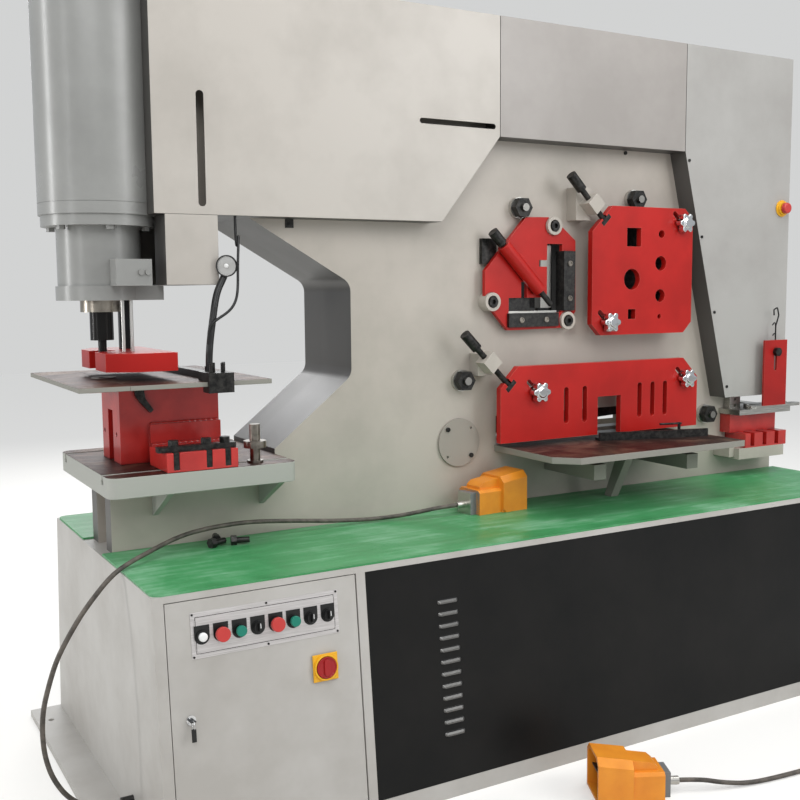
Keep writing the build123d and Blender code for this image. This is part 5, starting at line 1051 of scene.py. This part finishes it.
def hook_prongs():
    """The two shorter hooks on the notch guard's wire, below its top one."""
    stem = 2384.0
    wire_front = 344.0
    wire_radius = 2.3
    for name, foot, reach in (("guard_hook_upper", 1162.0, 11.0), ("guard_hook_lower", 1126.0, 9.0)):
        line = tube(name, radius=wire_radius, smoothness=3)
        spline = line.splines.new("BEZIER")
        spline.bezier_points.add(2)
        stops = ((stem, foot), (stem - reach / 2, foot + reach), (stem - 1.6 * reach, foot + 0.35 * reach))
        for point, (x, z) in zip(spline.bezier_points, stops):
            point.co = at(x, wire_front, z)
            point.handle_left_type = "AUTO"
            point.handle_right_type = "AUTO"
        line.materials.append(black_steel)
        piece = placed(name, line)
        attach(piece, "notch_guard")


main_switch_shield()
main_switch_skirt()
stop_ring()
pilot_lens()
selector_marks()
lamp_bulb()
plate_screws()
key_ring()
blade_screws()
angle_blade_bed()
die_bed_welds()
hook_prongs()


# Floor, backdrop and light. The floor fades into the backdrop, which has the floor's own far colour.
floor_paint = "#DAD8D4"
sky_light = "#E6EAEE"
sky_strength = 0.62
backdrop_veil = 0.3
floor_drop = 0.0005
lamp_target = Vector((0, 0, 0.9))


def studio():
    """Pale floor, pale surroundings and soft lamps, each lamp with its place and size in metres and its
    watts."""
    let_go()
    bpy.ops.mesh.primitive_plane_add(size=30, location=(0, 0, -floor_drop))
    floor = bpy.context.object
    floor.name = "floor"
    material, tree, _ = new_material("pale floor")
    seen_by_camera = add(tree, "LightPath").outputs["Is Camera Ray"]
    veil = add(tree, "Math", {0: seen_by_camera, 1: backdrop_veil}, operation="MULTIPLY")
    close(tree, {"Base Color": linear(floor_paint), "Roughness": 0.9, "Specular IOR Level": 0.0,
                 "Emission Color": (1.0, 1.0, 1.0, 1.0), "Emission Strength": veil.outputs[0]})
    floor.data.materials.append(material)
    world = bpy.data.worlds.new("studio")
    bpy.context.scene.world = world
    world.use_nodes = True
    sky = world.node_tree
    sky.nodes.clear()
    horizon = [sky_strength * above * below + backdrop_veil
               for above, below in zip(linear(sky_light)[:3], linear(floor_paint)[:3])]
    light = add(sky, "Background", {"Color": linear(sky_light), "Strength": sky_strength})
    seen = add(sky, "Background", {"Color": (*horizon, 1.0)})
    ray = add(sky, "LightPath")
    pick = add(sky, "MixShader", {0: ray.outputs["Is Camera Ray"], 1: light.outputs[0], 2: seen.outputs[0]})
    add(sky, "OutputWorld", {"Surface": pick.outputs[0]})
    lamps = (
        ("key", (-2.4, -3.8, 4.2), (2.6, 2.6), 82.0),
        ("fill", (2.4, -4.0, 3.4), (2.4, 2.4), 58.0),
        ("top", (0.2, -0.9, 4.8), (3.4, 1.6), 70.0),
        ("back", (0.4, 4.2, 3.8), (3.0, 3.0), 120.0),
        ("strip", (-5.0, 1.2, 1.9), (0.35, 2.6), 55.0),
        ("left strip", (-4.6, -1.6, 1.9), (0.3, 2.6), 12.0),
        ("right strip", (1.6, -2.9, 2.0), (0.4, 2.4), 12.0),
    )
    for name, spot, (width, height), power in lamps:
        lamp_data = bpy.data.lights.new(name, "AREA")
        lamp_data.shape = "RECTANGLE"
        lamp_data.size = width
        lamp_data.size_y = height
        lamp_data.energy = power
        lamp = placed(name, lamp_data)
        aim = lamp_target - Vector(spot)
        lamp.matrix_world = Matrix.Translation(spot) @ aim.to_track_quat("-Z", "Y").to_matrix().to_4x4()


studio()
bpy.context.scene.view_settings.view_transform = "Standard"
